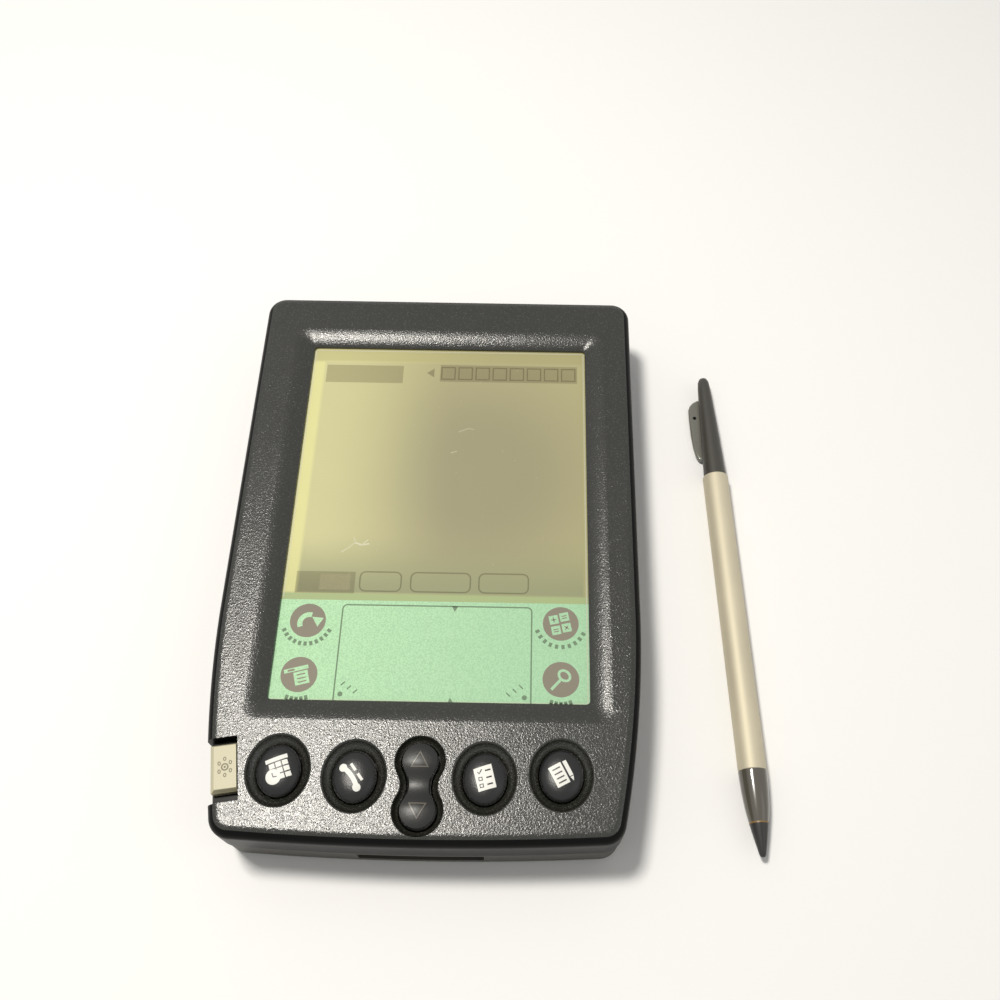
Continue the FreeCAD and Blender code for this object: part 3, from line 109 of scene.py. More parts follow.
def show_plain_white(tree, lit_shader, output, white_shader):
    """Mix in plain white for rays that come straight from the camera or from a mirror or glass."""
    path = tree.nodes.new("ShaderNodeLightPath")
    either = tree.nodes.new("ShaderNodeMath")
    either.operation = "MAXIMUM"
    any_of = tree.nodes.new("ShaderNodeMath")
    any_of.operation = "MAXIMUM"
    tree.links.new(path.outputs["Is Glossy Ray"], either.inputs[0])
    tree.links.new(path.outputs["Is Transmission Ray"], either.inputs[1])
    tree.links.new(path.outputs["Is Camera Ray"], any_of.inputs[0])
    tree.links.new(either.outputs[0], any_of.inputs[1])
    mix = tree.nodes.new("ShaderNodeMixShader")
    tree.links.new(any_of.outputs[0], mix.inputs["Fac"])
    tree.links.new(lit_shader, mix.inputs[1])
    tree.links.new(white_shader, mix.inputs[2])
    tree.links.new(mix.outputs[0], output)


world = bpy.data.worlds.new("studio")
bpy.context.scene.world = world
world.use_nodes = True
world_tree = world.node_tree
world_tree.nodes.clear()
grey = world_tree.nodes.new("ShaderNodeBackground")
grey.inputs["Color"].default_value = (1.0, 0.99, 0.94, 1.0)
grey.inputs["Strength"].default_value = 0.33
white = world_tree.nodes.new("ShaderNodeBackground")
white.inputs["Strength"].default_value = 1.0
world_out = world_tree.nodes.new("ShaderNodeOutputWorld")
show_plain_white(world_tree, grey.outputs[0], world_out.inputs["Surface"], white.outputs[0])

# %% [markdown]
# Most finishes here share three effects: a fine moulded grain, a light film of dust, and slow
# cloudiness. Each is a node group with named inputs, so that one recipe serves every material and
# only its values change. Object coordinates keep the pattern the same size on every piece.

# %% Shared node groups
def new_group(name, inputs, outputs):
    """A shader node group with its sockets, and its two end nodes."""
    tree = bpy.data.node_groups.new(name, "ShaderNodeTree")
    for label, kind, value in inputs:
        socket = tree.interface.new_socket(name=label, in_out="INPUT", socket_type=kind)
        socket.default_value = value
    for label, kind in outputs:
        tree.interface.new_socket(name=label, in_out="OUTPUT", socket_type=kind)
    return tree, tree.nodes.new("NodeGroupInput"), tree.nodes.new("NodeGroupOutput")


def math_node(tree, operation, first, second=0.0):
    """A Math node whose operands are sockets or numbers."""
    node = tree.nodes.new("ShaderNodeMath")
    node.operation = operation
    for slot_index, operand in enumerate((first, second)):
        if isinstance(operand, (int, float)):
            node.inputs[slot_index].default_value = operand
        else:
            tree.links.new(operand, node.inputs[slot_index])
    return node.outputs[0]


def noise(tree, scale, detail=2.0, roughness=0.5):
    """A noise texture on Object coordinates."""
    coordinates = tree.nodes.new("ShaderNodeTexCoord")
    texture = tree.nodes.new("ShaderNodeTexNoise")
    texture.inputs["Detail"].default_value = detail
    texture.inputs["Roughness"].default_value = roughness
    tree.links.new(coordinates.outputs["Object"], texture.inputs["Vector"])
    if isinstance(scale, (int, float)):
        texture.inputs["Scale"].default_value = scale
    else:
        tree.links.new(scale, texture.inputs["Scale"])
    return texture


def mixed_colour(tree, factor, first, second):
    """A colour mix whose ends are colours or sockets."""
    mix = tree.nodes.new("ShaderNodeMix")
    mix.data_type = "RGBA"
    tree.links.new(factor, mix.inputs["Factor"])
    for socket, value in ((mix.inputs[6], first), (mix.inputs[7], second)):
        if isinstance(value, tuple):
            socket.default_value = value if len(value) == 4 else (*value, 1.0)
        else:
            tree.links.new(value, socket)
    return mix.outputs[2]


def make_grain_group():
    """Pebbled moulding grain: a height for a Bump node, and a mask of its crests."""
    tree, start, end = new_group(
        "moulded_grain",
        [("Scale", "NodeSocketFloat", 2400.0), ("Sharpness", "NodeSocketFloat", 1.0)],
        [("Height", "NodeSocketFloat"), ("Crests", "NodeSocketFloat")],
    )
    coarse = noise(tree, start.outputs["Scale"], 1.5, 0.55)
    finer = noise(tree, math_node(tree, "MULTIPLY", start.outputs["Scale"], 2.3), 1.0)
    fine_share = math_node(tree, "MULTIPLY", finer.outputs["Fac"], 0.45)
    blend = math_node(tree, "ADD", coarse.outputs["Fac"], fine_share)
    height = math_node(tree, "POWER", blend, start.outputs["Sharpness"])
    tree.links.new(height, end.inputs["Height"])
    crest = math_node(tree, "MULTIPLY", math_node(tree, "SUBTRACT", coarse.outputs["Fac"], 0.58), 9.0)
    crest = math_node(tree, "MINIMUM", math_node(tree, "MAXIMUM", crest, 0.0), 1.0)
    tree.links.new(crest, end.inputs["Crests"])
    return tree


def make_dust_group():
    """Scattered specks and slow smudges, as two masks between 0 and 1."""
    tree, start, end = new_group(
        "dust_and_smudges",
        [("Speck Scale", "NodeSocketFloat", 900.0), ("Amount", "NodeSocketFloat", 0.5)],
        [("Specks", "NodeSocketFloat"), ("Smudges", "NodeSocketFloat")],
    )
    speck = noise(tree, start.outputs["Speck Scale"], 0.0)
    raised = math_node(tree, "MULTIPLY", math_node(tree, "SUBTRACT", speck.outputs["Fac"], 0.74), 14.0)
    limited = math_node(tree, "MINIMUM", math_node(tree, "MAXIMUM", raised, 0.0), 1.0)
    tree.links.new(math_node(tree, "MULTIPLY", limited, start.outputs["Amount"]), end.inputs["Specks"])
    smudge = noise(tree, 55.0, 3.0, 0.6)
    tree.links.new(smudge.outputs["Fac"], end.inputs["Smudges"])
    return tree


grain_group = make_grain_group()
dust_group = make_dust_group()


def group_node(tree, group, **values):
    """Place a node group in a material with its own values."""
    node = tree.nodes.new("ShaderNodeGroup")
    node.node_tree = group
    for label, value in values.items():
        node.inputs[label.replace("_", " ")].default_value = value
    return node


# %% [markdown]
# A material function makes the usual moulded plastic: a base colour that the smudges vary, a
# roughness that the grain's crests polish, and a bump from the grain. Metal, glass and printed ink
# are the same recipe with other values, so one function with clear arguments is enough.

# %% Materials
def finish(name, colour, rough=0.5, grain=0.0, grain_scale=2400.0, metal=0.0, coat=0.0, painted_crest_glint=0.0,
           variation=0.12, specks=0.0, sharpness=1.0, rough_span=0.1, specular=0.5):
    """A moulded, painted or metal finish with its grain, cloudiness and dust."""
    material = bpy.data.materials.new(name)
    material.use_nodes = True
    material.diffuse_color = (*colour, 1.0)
    tree = material.node_tree
    shader = tree.nodes["Principled BSDF"]
    shader.inputs["Metallic"].default_value = metal
    shader.inputs["Coat Weight"].default_value = coat
    shader.inputs["Coat Roughness"].default_value = 0.08
    shader.inputs["Specular IOR Level"].default_value = specular
    dust = group_node(tree, dust_group, Amount=specks)
    darker = tuple(channel * (1 - variation) for channel in colour)
    lighter = tuple(channel * (1 + variation) for channel in colour)
    base = mixed_colour(tree, dust.outputs["Smudges"], darker, lighter)
    if specks:
        base = mixed_colour(tree, dust.outputs["Specks"], base, (0.55, 0.53, 0.48))
    roughness = math_node(tree, "ADD", math_node(tree, "MULTIPLY", dust.outputs["Smudges"], rough_span),
                          rough - rough_span / 2)
    if grain:
        pebbles = group_node(tree, grain_group, Scale=grain_scale, Sharpness=sharpness)
        bump = tree.nodes.new("ShaderNodeBump")
        bump.inputs["Strength"].default_value = 1.0
        bump.inputs["Distance"].default_value = grain * MM
        tree.links.new(pebbles.outputs["Height"], bump.inputs["Height"])
        tree.links.new(bump.outputs["Normal"], shader.inputs["Normal"])
        # Lighter crests are a painted glint: the crests get a lighter base colour as well as a polish.
        if painted_crest_glint:
            tint = tuple(channel + painted_crest_glint for channel in colour)
            base = mixed_colour(tree, pebbles.outputs["Crests"], base, tint)
            roughness = math_node(tree, "SUBTRACT", roughness,
                                  math_node(tree, "MULTIPLY", pebbles.outputs["Crests"], 0.12))
    tree.links.new(base, shader.inputs["Base Color"])
    tree.links.new(roughness, shader.inputs["Roughness"])
    return material


# The case's lighter crests are a painted glint on its grain.
case_black = finish("case_black", (0.017, 0.017, 0.013), rough=0.22, grain=0.045, grain_scale=3000.0,
                    painted_crest_glint=0.035, sharpness=1.25, specular=0.62)
# A darker, barely reflective copy of the case finish: painted shade for the rolled edge, the gaps by the power
# key and the clip's dimple.
painted_shade_black = finish("painted_shade_black", (0.006, 0.006, 0.006), rough=0.32, specular=0.06)
rear_grey = finish("rear_grey", (0.058, 0.054, 0.046),
                   rough=0.50, grain=0.04, grain_scale=3200.0, specular=0.3)
key_black = finish("key_black", (0.006, 0.006, 0.006),
                   rough=0.36, grain=0.030, grain_scale=3200.0, specular=0.5)
rocker_black = finish("rocker_black", (0.008, 0.008, 0.007),
                      rough=0.36, grain=0.012, grain_scale=3200.0, specular=0.4)
power_cream = finish("power_cream", (0.53, 0.49, 0.33),
                     rough=0.45, grain=0.02, grain_scale=3000.0, variation=0.05)
# Darker than the key: painted shade in the grooves of the pressed-in lamp sign.
painted_groove_shade = finish("painted_groove_shade", (0.20, 0.18, 0.12), rough=0.6)
pictogram_white = finish("pictogram_white", (0.84, 0.84, 0.80), rough=0.5)
# Lighter than the rocker: painted highlight on the edges of the raised arrows.
painted_arrow_highlight = finish("painted_arrow_highlight", (0.11, 0.10, 0.08), rough=0.35)
disc_brown = finish("disc_brown", (0.24, 0.215, 0.17), rough=0.6, specular=0.3)
line_green = finish("line_green", (0.16, 0.24, 0.15), rough=0.6, specular=0.3)
barrel_metal = finish("barrel_metal", (0.60, 0.545, 0.41),
                      rough=0.58, metal=0.35, grain=0.01, grain_scale=2600.0)
collar_gloss = finish("collar_gloss", (0.085, 0.076, 0.060), rough=0.20, coat=0.6)
nib_black = finish("nib_black", (0.020, 0.019, 0.019), rough=0.32)
seam_brown = finish("seam_brown", (0.22, 0.13, 0.04), rough=0.35)
cap_black = finish("cap_black", (0.045, 0.042, 0.034), rough=0.45, grain=0.012)
clip_grey = finish("clip_grey", (0.15, 0.15, 0.125), rough=0.28, coat=0.4, grain=0.01)
window_red = finish("window_red", (0.030, 0.004, 0.010), rough=0.12, coat=0.5)
steel = finish("steel", (0.50, 0.50, 0.51), rough=0.32, metal=1.0)
gold = finish("gold", (0.80, 0.58, 0.22), rough=0.25, metal=1.0)
brass = finish("brass", (0.66, 0.50, 0.22), rough=0.35, metal=1.0)
board_green = finish("board_green", (0.02, 0.16, 0.06), rough=0.35, coat=0.3)
chip_black = finish("chip_black", (0.022, 0.022, 0.024), rough=0.55, grain=0.01)
socket_ivory = finish("socket_ivory", (0.72, 0.68, 0.56), rough=0.5)
flex_amber = finish("flex_amber", (0.50, 0.24, 0.05), rough=0.25, coat=0.3)
rubber_grey = finish("rubber_grey", (0.22, 0.22, 0.23), rough=0.7, grain=0.02)
foam_black = finish("foam_black", (0.018, 0.018, 0.018), rough=0.85, grain=0.04)
frame_white = finish("frame_white", (0.66, 0.66, 0.63), rough=0.5)
cell_blue = finish("cell_blue", (0.07, 0.13, 0.30), rough=0.3, coat=0.4)
backlight_white = finish("backlight_white", (0.72, 0.75, 0.66), rough=0.6)
glass_clear = finish("glass_clear", (0.62, 0.66, 0.58), rough=0.12)
display_khaki = finish("display_khaki", (0.38, 0.36, 0.21), rough=0.3)

# %% [markdown]
# The screen needs two finishes of its own. The display is a khaki that is darkest right of its
# centre, a painted dark reflection, and turns to a bright yellow band at the left border, with a faint
# weave from its rows and columns. Its lightening towards the left, band included, is painted light.
# The printed writing area is a grainy mint green that is a little brighter at the left, also painted
# light.

# %% Screen finishes
def screen_material(name, rough):
    """A material with its shader, and the place on the screen in millimetres as two sockets."""
    material = bpy.data.materials.new(name)
    material.use_nodes = True
    tree = material.node_tree
    shader = tree.nodes["Principled BSDF"]
    shader.inputs["Roughness"].default_value = rough
    shader.inputs["Specular IOR Level"].default_value = 0.3
    coordinates = tree.nodes.new("ShaderNodeTexCoord")
    split = tree.nodes.new("ShaderNodeSeparateXYZ")
    tree.links.new(coordinates.outputs["Object"], split.inputs[0])
    across = math_node(tree, "MULTIPLY", split.outputs[0], 1000.0)
    along = math_node(tree, "MULTIPLY", split.outputs[1], 1000.0)
    return material, tree, shader, across, along


def ramp(tree, value, start, end):
    """A smooth step from 0 at one value to 1 at another."""
    node = tree.nodes.new("ShaderNodeMapRange")
    node.interpolation_type = "SMOOTHSTEP"
    node.inputs["From Min"].default_value = start
    node.inputs["From Max"].default_value = end
    tree.links.new(value, node.inputs["Value"])
    return node.outputs["Result"]


def distance_from(tree, across, along, centre, reach):
    """Distance from a centre, in units of a reach along each axis."""
    x = math_node(tree, "DIVIDE", math_node(tree, "SUBTRACT", across, centre[0]), reach[0])
    y = math_node(tree, "DIVIDE", math_node(tree, "SUBTRACT", along, centre[1]), reach[1])
    squares = math_node(tree, "ADD", math_node(tree, "MULTIPLY", x, x), math_node(tree, "MULTIPLY", y, y))
    return math_node(tree, "SQRT", squares)


def make_display_finish():
    material, tree, shader, across, along = screen_material("display_face", 0.55)
    # Painted dark reflection: darkest right of the centre, lighter further out.
    painted_dark_reflection = ramp(tree, distance_from(tree, across, along, (8.0, 15.0), (38.0, 40.0)), 0.2, 1.0)
    base = mixed_colour(tree, painted_dark_reflection, (0.325, 0.302, 0.185), (0.45, 0.42, 0.225))
    # Painted light: the face grows lighter towards the left.
    base = mixed_colour(tree, ramp(tree, across, 4.0, -27.0), base, (0.60, 0.58, 0.315))
    base = mixed_colour(tree, ramp(tree, along, 2.0, -13.0), base, (0.29, 0.31, 0.175))
    outside_left = ramp(tree, across, -26.0, -27.0)
    outside_top = ramp(tree, along, 42.9, 43.8)
    outside_right = ramp(tree, across, 29.4, 30.0)
    outside_foot = ramp(tree, along, -11.6, -12.3)
    outside = math_node(tree, "MAXIMUM", outside_left, outside_top)
    outside = math_node(tree, "MAXIMUM", outside, math_node(tree, "MAXIMUM", outside_right, outside_foot))
    # The border band also grows lighter towards the left: painted light.
    band = mixed_colour(tree, ramp(tree, across, 20.0, -28.0), (0.42, 0.40, 0.19), (0.78, 0.76, 0.34))
    band = mixed_colour(tree, math_node(tree, "MULTIPLY", outside_top, 0.6), band, (0.38, 0.34, 0.16))
    band = mixed_colour(tree, outside_foot, band, (0.40, 0.51, 0.24))
    base = mixed_colour(tree, math_node(tree, "MULTIPLY", outside, 0.75), base, band)
    weave = math_node(tree, "SINE", math_node(tree, "MULTIPLY", across, 2 * math.pi / PIXEL_PITCH))
    rows = math_node(tree, "SINE", math_node(tree, "MULTIPLY", along, 2 * math.pi / PIXEL_PITCH))
    both = math_node(tree, "ADD", math_node(tree, "ADD", weave, rows), 2.0)
    weave = math_node(tree, "MULTIPLY", both, 0.02)
    base = mixed_colour(tree, weave, base, (0.20, 0.19, 0.12))
    blotch = noise(tree, 90.0, 3.0, 0.6)
    faint = math_node(tree, "MULTIPLY", blotch.outputs["Fac"], 0.12)
    base = mixed_colour(tree, faint, base, (0.30, 0.30, 0.20))
    tree.links.new(base, shader.inputs["Base Color"])
    return material


def make_mint_finish():
    material, tree, shader, across, along = screen_material("mint_print", 0.6)
    # Painted light: the print is lighter towards the left.
    base = mixed_colour(tree, ramp(tree, across, -30.0, 31.0), (0.48, 0.76, 0.47), (0.40, 0.65, 0.42))
    speckle = noise(tree, 3800.0, 1.0)
    amount = ramp(tree, speckle.outputs["Fac"], 0.42, 0.60)
    base = mixed_colour(tree, math_node(tree, "MULTIPLY", amount, 0.42), base, (0.27, 0.47, 0.29))
    tree.links.new(base, shader.inputs["Base Color"])
    return material


def ghost_finish(name, colour, alpha):
    """A faint see-through tint, for the shapes that an unlit display still shows and for painted highlights."""
    material = finish(name, colour, rough=0.6, specular=0.0)
    material.node_tree.nodes["Principled BSDF"].inputs["Alpha"].default_value = alpha
    return material


PIXEL_PITCH = 0.35
display_face = make_display_finish()
mint_print = make_mint_finish()
ghost_dark = ghost_finish("ghost_dark", (0.20, 0.16, 0.10), 0.22)
ghost_line = ghost_finish("ghost_line", (0.16, 0.14, 0.08), 0.28)
painted_edge_highlight = ghost_finish("painted_edge_highlight", (0.86, 0.86, 0.72), 0.42)
ghost_cell = ghost_finish("ghost_cell", (0.62, 0.57, 0.37), 0.30)
scratch_white = ghost_finish("scratch_white", (0.95, 0.93, 0.75), 0.55)
print("materials:", len(bpy.data.materials))

# %% [markdown]
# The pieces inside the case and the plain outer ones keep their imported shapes. One table names the
# finish of each, so that nothing is left bare when a cover is taken off.

# %% Finish the hidden nodes
NODE_FINISHES = {
    "window_gasket": foam_black, "display_frame": frame_white, "backlight_sheet": backlight_white,
    "display_ribbon": flex_amber, "touch_tail": flex_amber, "main_board": board_green,
    "memory_board": board_green, "processor_chip": chip_black, "driver_chip": chip_black,
    "power_chip": chip_black, "memory_chip": chip_black, "memory_header": socket_ivory,
    "display_socket": socket_ivory, "keypad_membrane": rubber_grey, "power_switch": chip_black,
    "reset_switch": chip_black, "contrast_control": chip_black, "contrast_wheel": case_black,
    "battery_cells": cell_blue, "battery_contacts": steel, "case_screws": steel, "sounder_disc": brass,
    "infrared_window": window_red, "touch_glass": glass_clear, "front_polarizer": display_khaki,
    "display_panel": display_khaki, "infrared_module": chip_black, "dock_connector": chip_black,
    "dock_contacts": gold, "backup_capacitor": steel, "reset_pin": steel, "rear_case": rear_grey,
    "battery_door": rear_grey,
}
for node_name, material in NODE_FINISHES.items():
    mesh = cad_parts[node_name].data
    mesh.materials.clear()
    mesh.materials.append(material)
print("finished nodes:", len(NODE_FINISHES))

# %% [markdown]
# Every shell, key and pen piece is a stack of closed loops, as a lathe or a mould would make it. One
# helper joins the loops with quads and closes both ends, so each piece is a watertight solid with
# its faces pointing out.

# %% Loop helpers
def stacked(name, loops):
    """A closed solid through loops of equal length, from the lowest or nearest loop to the last."""
    mesh = bpy.data.meshes.new(name)
    builder = bmesh.new()
    rings = [[builder.verts.new(point) for point in loop] for loop in loops]
    count = len(rings[0])
    for lower, upper in zip(rings, rings[1:]):
        for step in range(count):
            following = (step + 1) % count
            builder.faces.new((lower[step], lower[following], upper[following], upper[step]))
    builder.faces.new(rings[0][::-1])
    builder.faces.new(rings[-1])
    bmesh.ops.recalc_face_normals(builder, faces=builder.faces)
    builder.to_mesh(mesh)
    builder.free()
    return placed(name, mesh)


def arc_points(centre, radius, start, end, steps):
    """Points along an arc, its last point left for the next stretch to begin with."""
    points = []
    for step in range(steps):
        angle = start + (end - start) * step / steps
        points.append((centre[0] + radius * math.cos(angle), centre[1] + radius * math.sin(angle)))
    return points


def line_points(start, end, steps):
    """Points along a straight stretch, without its last point."""
    return [tuple(a + (b - a) * step / steps for a, b in zip(start, end)) for step in range(steps)]


def raised(points, height):
    """Flat points in millimetres, lifted to a height and turned to metres."""
    return [Vector((x, y, height)) * MM for x, y in points]


def oval(centre, width, length, steps=64):
    """An ellipse as flat points."""
    points = []
    for step in range(steps):
        angle = 2 * math.pi * step / steps
        points.append((centre[0] + width / 2 * math.cos(angle), centre[1] + length / 2 * math.sin(angle)))
    return points


def rounded_box(centre, width, length, radius, corner_steps=6):
    """A rectangle with round corners as flat points."""
    points = []
    reach_x = width / 2 - radius
    reach_y = length / 2 - radius
    for quarter, (side_x, side_y) in enumerate(((1, 1), (-1, 1), (-1, -1), (1, -1))):
        middle = (centre[0] + side_x * reach_x, centre[1] + side_y * reach_y)
        start = math.pi / 2 * quarter
        points += arc_points(middle, radius, start, start + math.pi / 2, corner_steps)
        end = start + math.pi / 2
        points.append((middle[0] + radius * math.cos(end), middle[1] + radius * math.sin(end)))
    return points


def carve(piece, cutter):
    """Cut one solid out of another and delete the cutter."""
    modifier = piece.modifiers.new("carve", "BOOLEAN")
    modifier.operation = "DIFFERENCE"
    modifier.solver = "EXACT"
    modifier.object = cutter
    apply_modifiers(piece)
    bpy.data.objects.remove(cutter)


def apply_modifiers(piece):
    """Turn a piece and its modifiers into a plain mesh."""
    evaluated = piece.evaluated_get(bpy.context.evaluated_depsgraph_get())
    mesh = bpy.data.meshes.new_from_object(evaluated)
    piece.modifiers.clear()
    piece.data = mesh


def smooth(piece, degrees=35.0):
    """Shade smoothly between faces that meet at less than an angle, and keep flat faces flat."""
    piece.data.shade_smooth()
    piece.data.set_sharp_from_angle(angle=math.radians(degrees))
    modifier = piece.modifiers.new("even_normals", "WEIGHTED_NORMAL")
    modifier.keep_sharp = True
    apply_modifiers(piece)


def dress(piece, material, body, slot, *nodes):
    """Give a piece its finish, hang it on its body and hide the nodes it stands in for."""
    piece.data.materials.clear()
    piece.data.materials.append(material)
    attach(piece, body)
    if nodes:
        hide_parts(*nodes)
    return piece


# %% [markdown]
# The case outline is a straight top, sides that draw in along a large arc towards the foot, and a
# foot that bows a little. All rounding comes from arcs, so the same function serves the outer skin,
# the rolled edge and the hollow, each drawn in by its own margin.

# %% Case outline
def span(low_high, axis):
    """A node box's size along one axis, in millimetres."""
    return (low_high[1][axis] - low_high[0][axis]) / MM


front_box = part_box("front_case")
CASE_WIDTH = span(front_box, 0)
CASE_TOP = front_box[1][1] / MM
CASE_FOOT = front_box[0][1] / MM
FACE = front_box[1][2] / MM
PARTING = front_box[0][2] / MM
CORNER = 4.0
TAPER_START = -15.0
TAPER_RADIUS = 208.0
FOOT_RADIUS = 540.0
EDGE_ROLL = 2.2
WALL = 1.6
PLATE = 1.8
print("case width and length in mm:", round(CASE_WIDTH, 2), round(CASE_TOP - CASE_FOOT, 2))


def case_outline(inset=0.0):
    """The case from the front, drawn in by a margin, as flat points."""
    corner = CORNER - inset if inset < CORNER - 0.5 else 0.5
    side = CASE_WIDTH / 2 - inset
    head = CASE_TOP - inset
    flank = (CASE_WIDTH / 2 - TAPER_RADIUS, TAPER_START)
    bow = (0.0, CASE_FOOT + FOOT_RADIUS)
    flank_reach = TAPER_RADIUS - inset - corner
    bow_reach = FOOT_RADIUS - inset - corner
    gap_x = bow[0] - flank[0]
    gap_y = bow[1] - flank[1]
    gap = math.hypot(gap_x, gap_y)
    along = (flank_reach ** 2 - bow_reach ** 2 + gap ** 2) / (2 * gap)
    aside = math.sqrt(flank_reach ** 2 - along ** 2)
    toe = (flank[0] + (gap_x * along + gap_y * aside) / gap, flank[1] + (gap_y * along - gap_x * aside) / gap)
    to_toe = math.atan2(toe[1] - flank[1], toe[0] - flank[0])
    to_foot = math.atan2(toe[1] - bow[1], toe[0] - bow[0])
    half = arc_points(bow, FOOT_RADIUS - inset, -math.pi / 2, to_foot, 16)
    half += arc_points(toe, corner, to_foot, to_toe, 10)
    half += arc_points(flank, TAPER_RADIUS - inset, to_toe, 0.0, 24)
    half += line_points((side, TAPER_START), (side, head - corner), 12)
    half += arc_points((side - corner, head - corner), corner, 0.0, math.pi / 2, 10)
    half += line_points((side - corner, head), (0.0, head), 8)
    mirrored = [(-x, y) for x, y in half[1:]]
    return half + [(0.0, head)] + mirrored[::-1]


def inside_case(point, margin):
    """Whether a point in metres lies inside the case outline drawn in by a margin."""
    x = abs(point.x) / MM
    y = point.y / MM
    side = CASE_WIDTH / 2 - margin
    if y < TAPER_START:
        reach = math.sqrt((TAPER_RADIUS - margin) ** 2 - (y - TAPER_START) ** 2)
        side = CASE_WIDTH / 2 - TAPER_RADIUS + reach
    foot = CASE_FOOT + margin + FOOT_RADIUS - math.sqrt(FOOT_RADIUS ** 2 - x ** 2)
    return x < side and foot < y < CASE_TOP - margin


# %% [markdown]
# The front case is one moulding. It starts as the outline stacked up to a rolled edge. Cutters then
# open the window with its soft sloping surround, the dished key wells, the rocker well, the power
# key's notch and the hollow behind. Booleans keep each opening true to its own profile.

# %% Front case
WINDOW_CENTRE = (0.7, 6.5)
WINDOW_WIDTH = 59.8
WINDOW_LENGTH = 80.4
ROLL_STEPS = 10

roll_loops = [raised(case_outline(), PARTING), raised(case_outline(), FACE - EDGE_ROLL)]
for step in range(1, ROLL_STEPS + 1):
    angle = math.pi / 2 * step / ROLL_STEPS
    margin = EDGE_ROLL * (1 - math.cos(angle))
    roll_loops.append(raised(case_outline(margin), FACE - EDGE_ROLL + EDGE_ROLL * math.sin(angle)))
front = stacked("front_shell", roll_loops)

hollow_outline = case_outline(WALL)
carve(front, stacked("hollow", [raised(hollow_outline, PARTING - 1), raised(hollow_outline, FACE - PLATE)]))

SURROUND = ((0.0, 14.0), (0.0, 16.35), (0.2, 16.55), (0.7, 16.84), (1.4, 17.15), (2.2, 17.44), (3.0, 17.65),
            (3.8, 17.77), (4.6, 17.83))
surround_loops = []
for grow, height in SURROUND:
    outline = rounded_box(WINDOW_CENTRE, WINDOW_WIDTH + grow * 2, WINDOW_LENGTH + grow * 2, 0.8 + grow * 0.4)
    surround_loops.append(raised(outline, height))
carve(front, stacked("window", surround_loops))

KEY_WIDTH = 7.9
KEY_LENGTH = 9.3
key_centres = {}
for key_name in ("calendar_key", "contacts_key", "tasks_key", "notes_key"):
    low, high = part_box(key_name)
    key_centres[key_name] = ((low[0] + high[0]) / 2 / MM, (low[1] + high[1]) / 2 / MM)
WELL = ((0.2, 14.0), (0.2, 16.35), (0.42, 16.55), (0.9, 16.75), (1.35, 17.1), (1.6, 17.45), (1.75, 17.68),
        (1.95, 17.79), (2.2, 17.84))
for centre in key_centres.values():
    loops = [raised(oval(centre, KEY_WIDTH + grow * 2, KEY_LENGTH + grow * 2), height) for grow, height in WELL]
    carve(front, stacked("well", loops))

rocker_low, rocker_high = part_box("scroll_rocker")
ROCKER_Y = (rocker_low[1] + rocker_high[1]) / 2 / MM
LOBE = 3.3
LOBE_OFFSET = 4.3
NECK = 5.0


def dumbbell(grow=0.0, steps=18):
    """Two lobes and a waist as flat points, grown outwards by a margin."""
    neck_x = math.sqrt((LOBE + NECK) ** 2 - LOBE_OFFSET ** 2)
    lean = math.atan2(LOBE_OFFSET, neck_x)
    high = (0.0, ROCKER_Y + LOBE_OFFSET)
    low = (0.0, ROCKER_Y - LOBE_OFFSET)
    points = arc_points(high, LOBE + grow, -lean, math.pi + lean, steps * 2)
    points += arc_points((-neck_x, ROCKER_Y), NECK - grow, lean, -lean, steps)
    points += arc_points(low, LOBE + grow, math.pi - lean, 2 * math.pi + lean, steps * 2)
    points += arc_points((neck_x, ROCKER_Y), NECK - grow, math.pi + lean, math.pi - lean, steps)
    return points


ROCKER_WELL = ((0.25, 14.0), (0.25, 16.5), (0.5, 16.62), (0.85, 16.85), (1.05, 17.3), (1.15, 17.62),
               (1.3, 17.78),
               (1.5, 17.84))
carve(front, stacked("rocker_well", [raised(dumbbell(grow), height) for grow, height in ROCKER_WELL]))

POWER_CENTRE = (-34.95, -47.1)
POWER_TILT = math.radians(8.7)
POWER_WIDTH = 4.9
POWER_LENGTH = 11.2


def tilted(points):
    """Points drawn about the power key's centre, turned to lie along the tapering side."""
    cosine = math.cos(POWER_TILT)
    sine = math.sin(POWER_TILT)
    turned = []
    for x, y in points:
        turned.append((POWER_CENTRE[0] + x * cosine - y * sine, POWER_CENTRE[1] + x * sine + y * cosine))
    return turned


notch = tilted(rounded_box((-POWER_WIDTH / 2, 0.0), POWER_WIDTH * 2 + 0.4, POWER_LENGTH + 0.4, 0.15, 3))
carve(front, stacked("notch", [raised(notch, 12.1), raised(notch, 19.0)]))
smooth(front)
dress(front, case_black, "case", "front_shell", "front_case")
# The rolled edge gets the painted shade finish, which stands for the dark surroundings that it mirrors.
front.data.materials.append(painted_shade_black)
rolled = 0
for face in front.data.polygons:
    beyond = face.center.z < (FACE - 0.25) * MM and not inside_case(face.center, EDGE_ROLL - 0.3)
    if beyond:
        face.material_index = 1
        rolled += 1
print("faces on the rolled edge:", rolled)
print("front case faces:", len(front.data.polygons))

# %% [markdown]
# A key is an oval with a domed top. Its loops rise steeply at the edge and level off towards the
# middle, which is what gives a key its moving highlight.

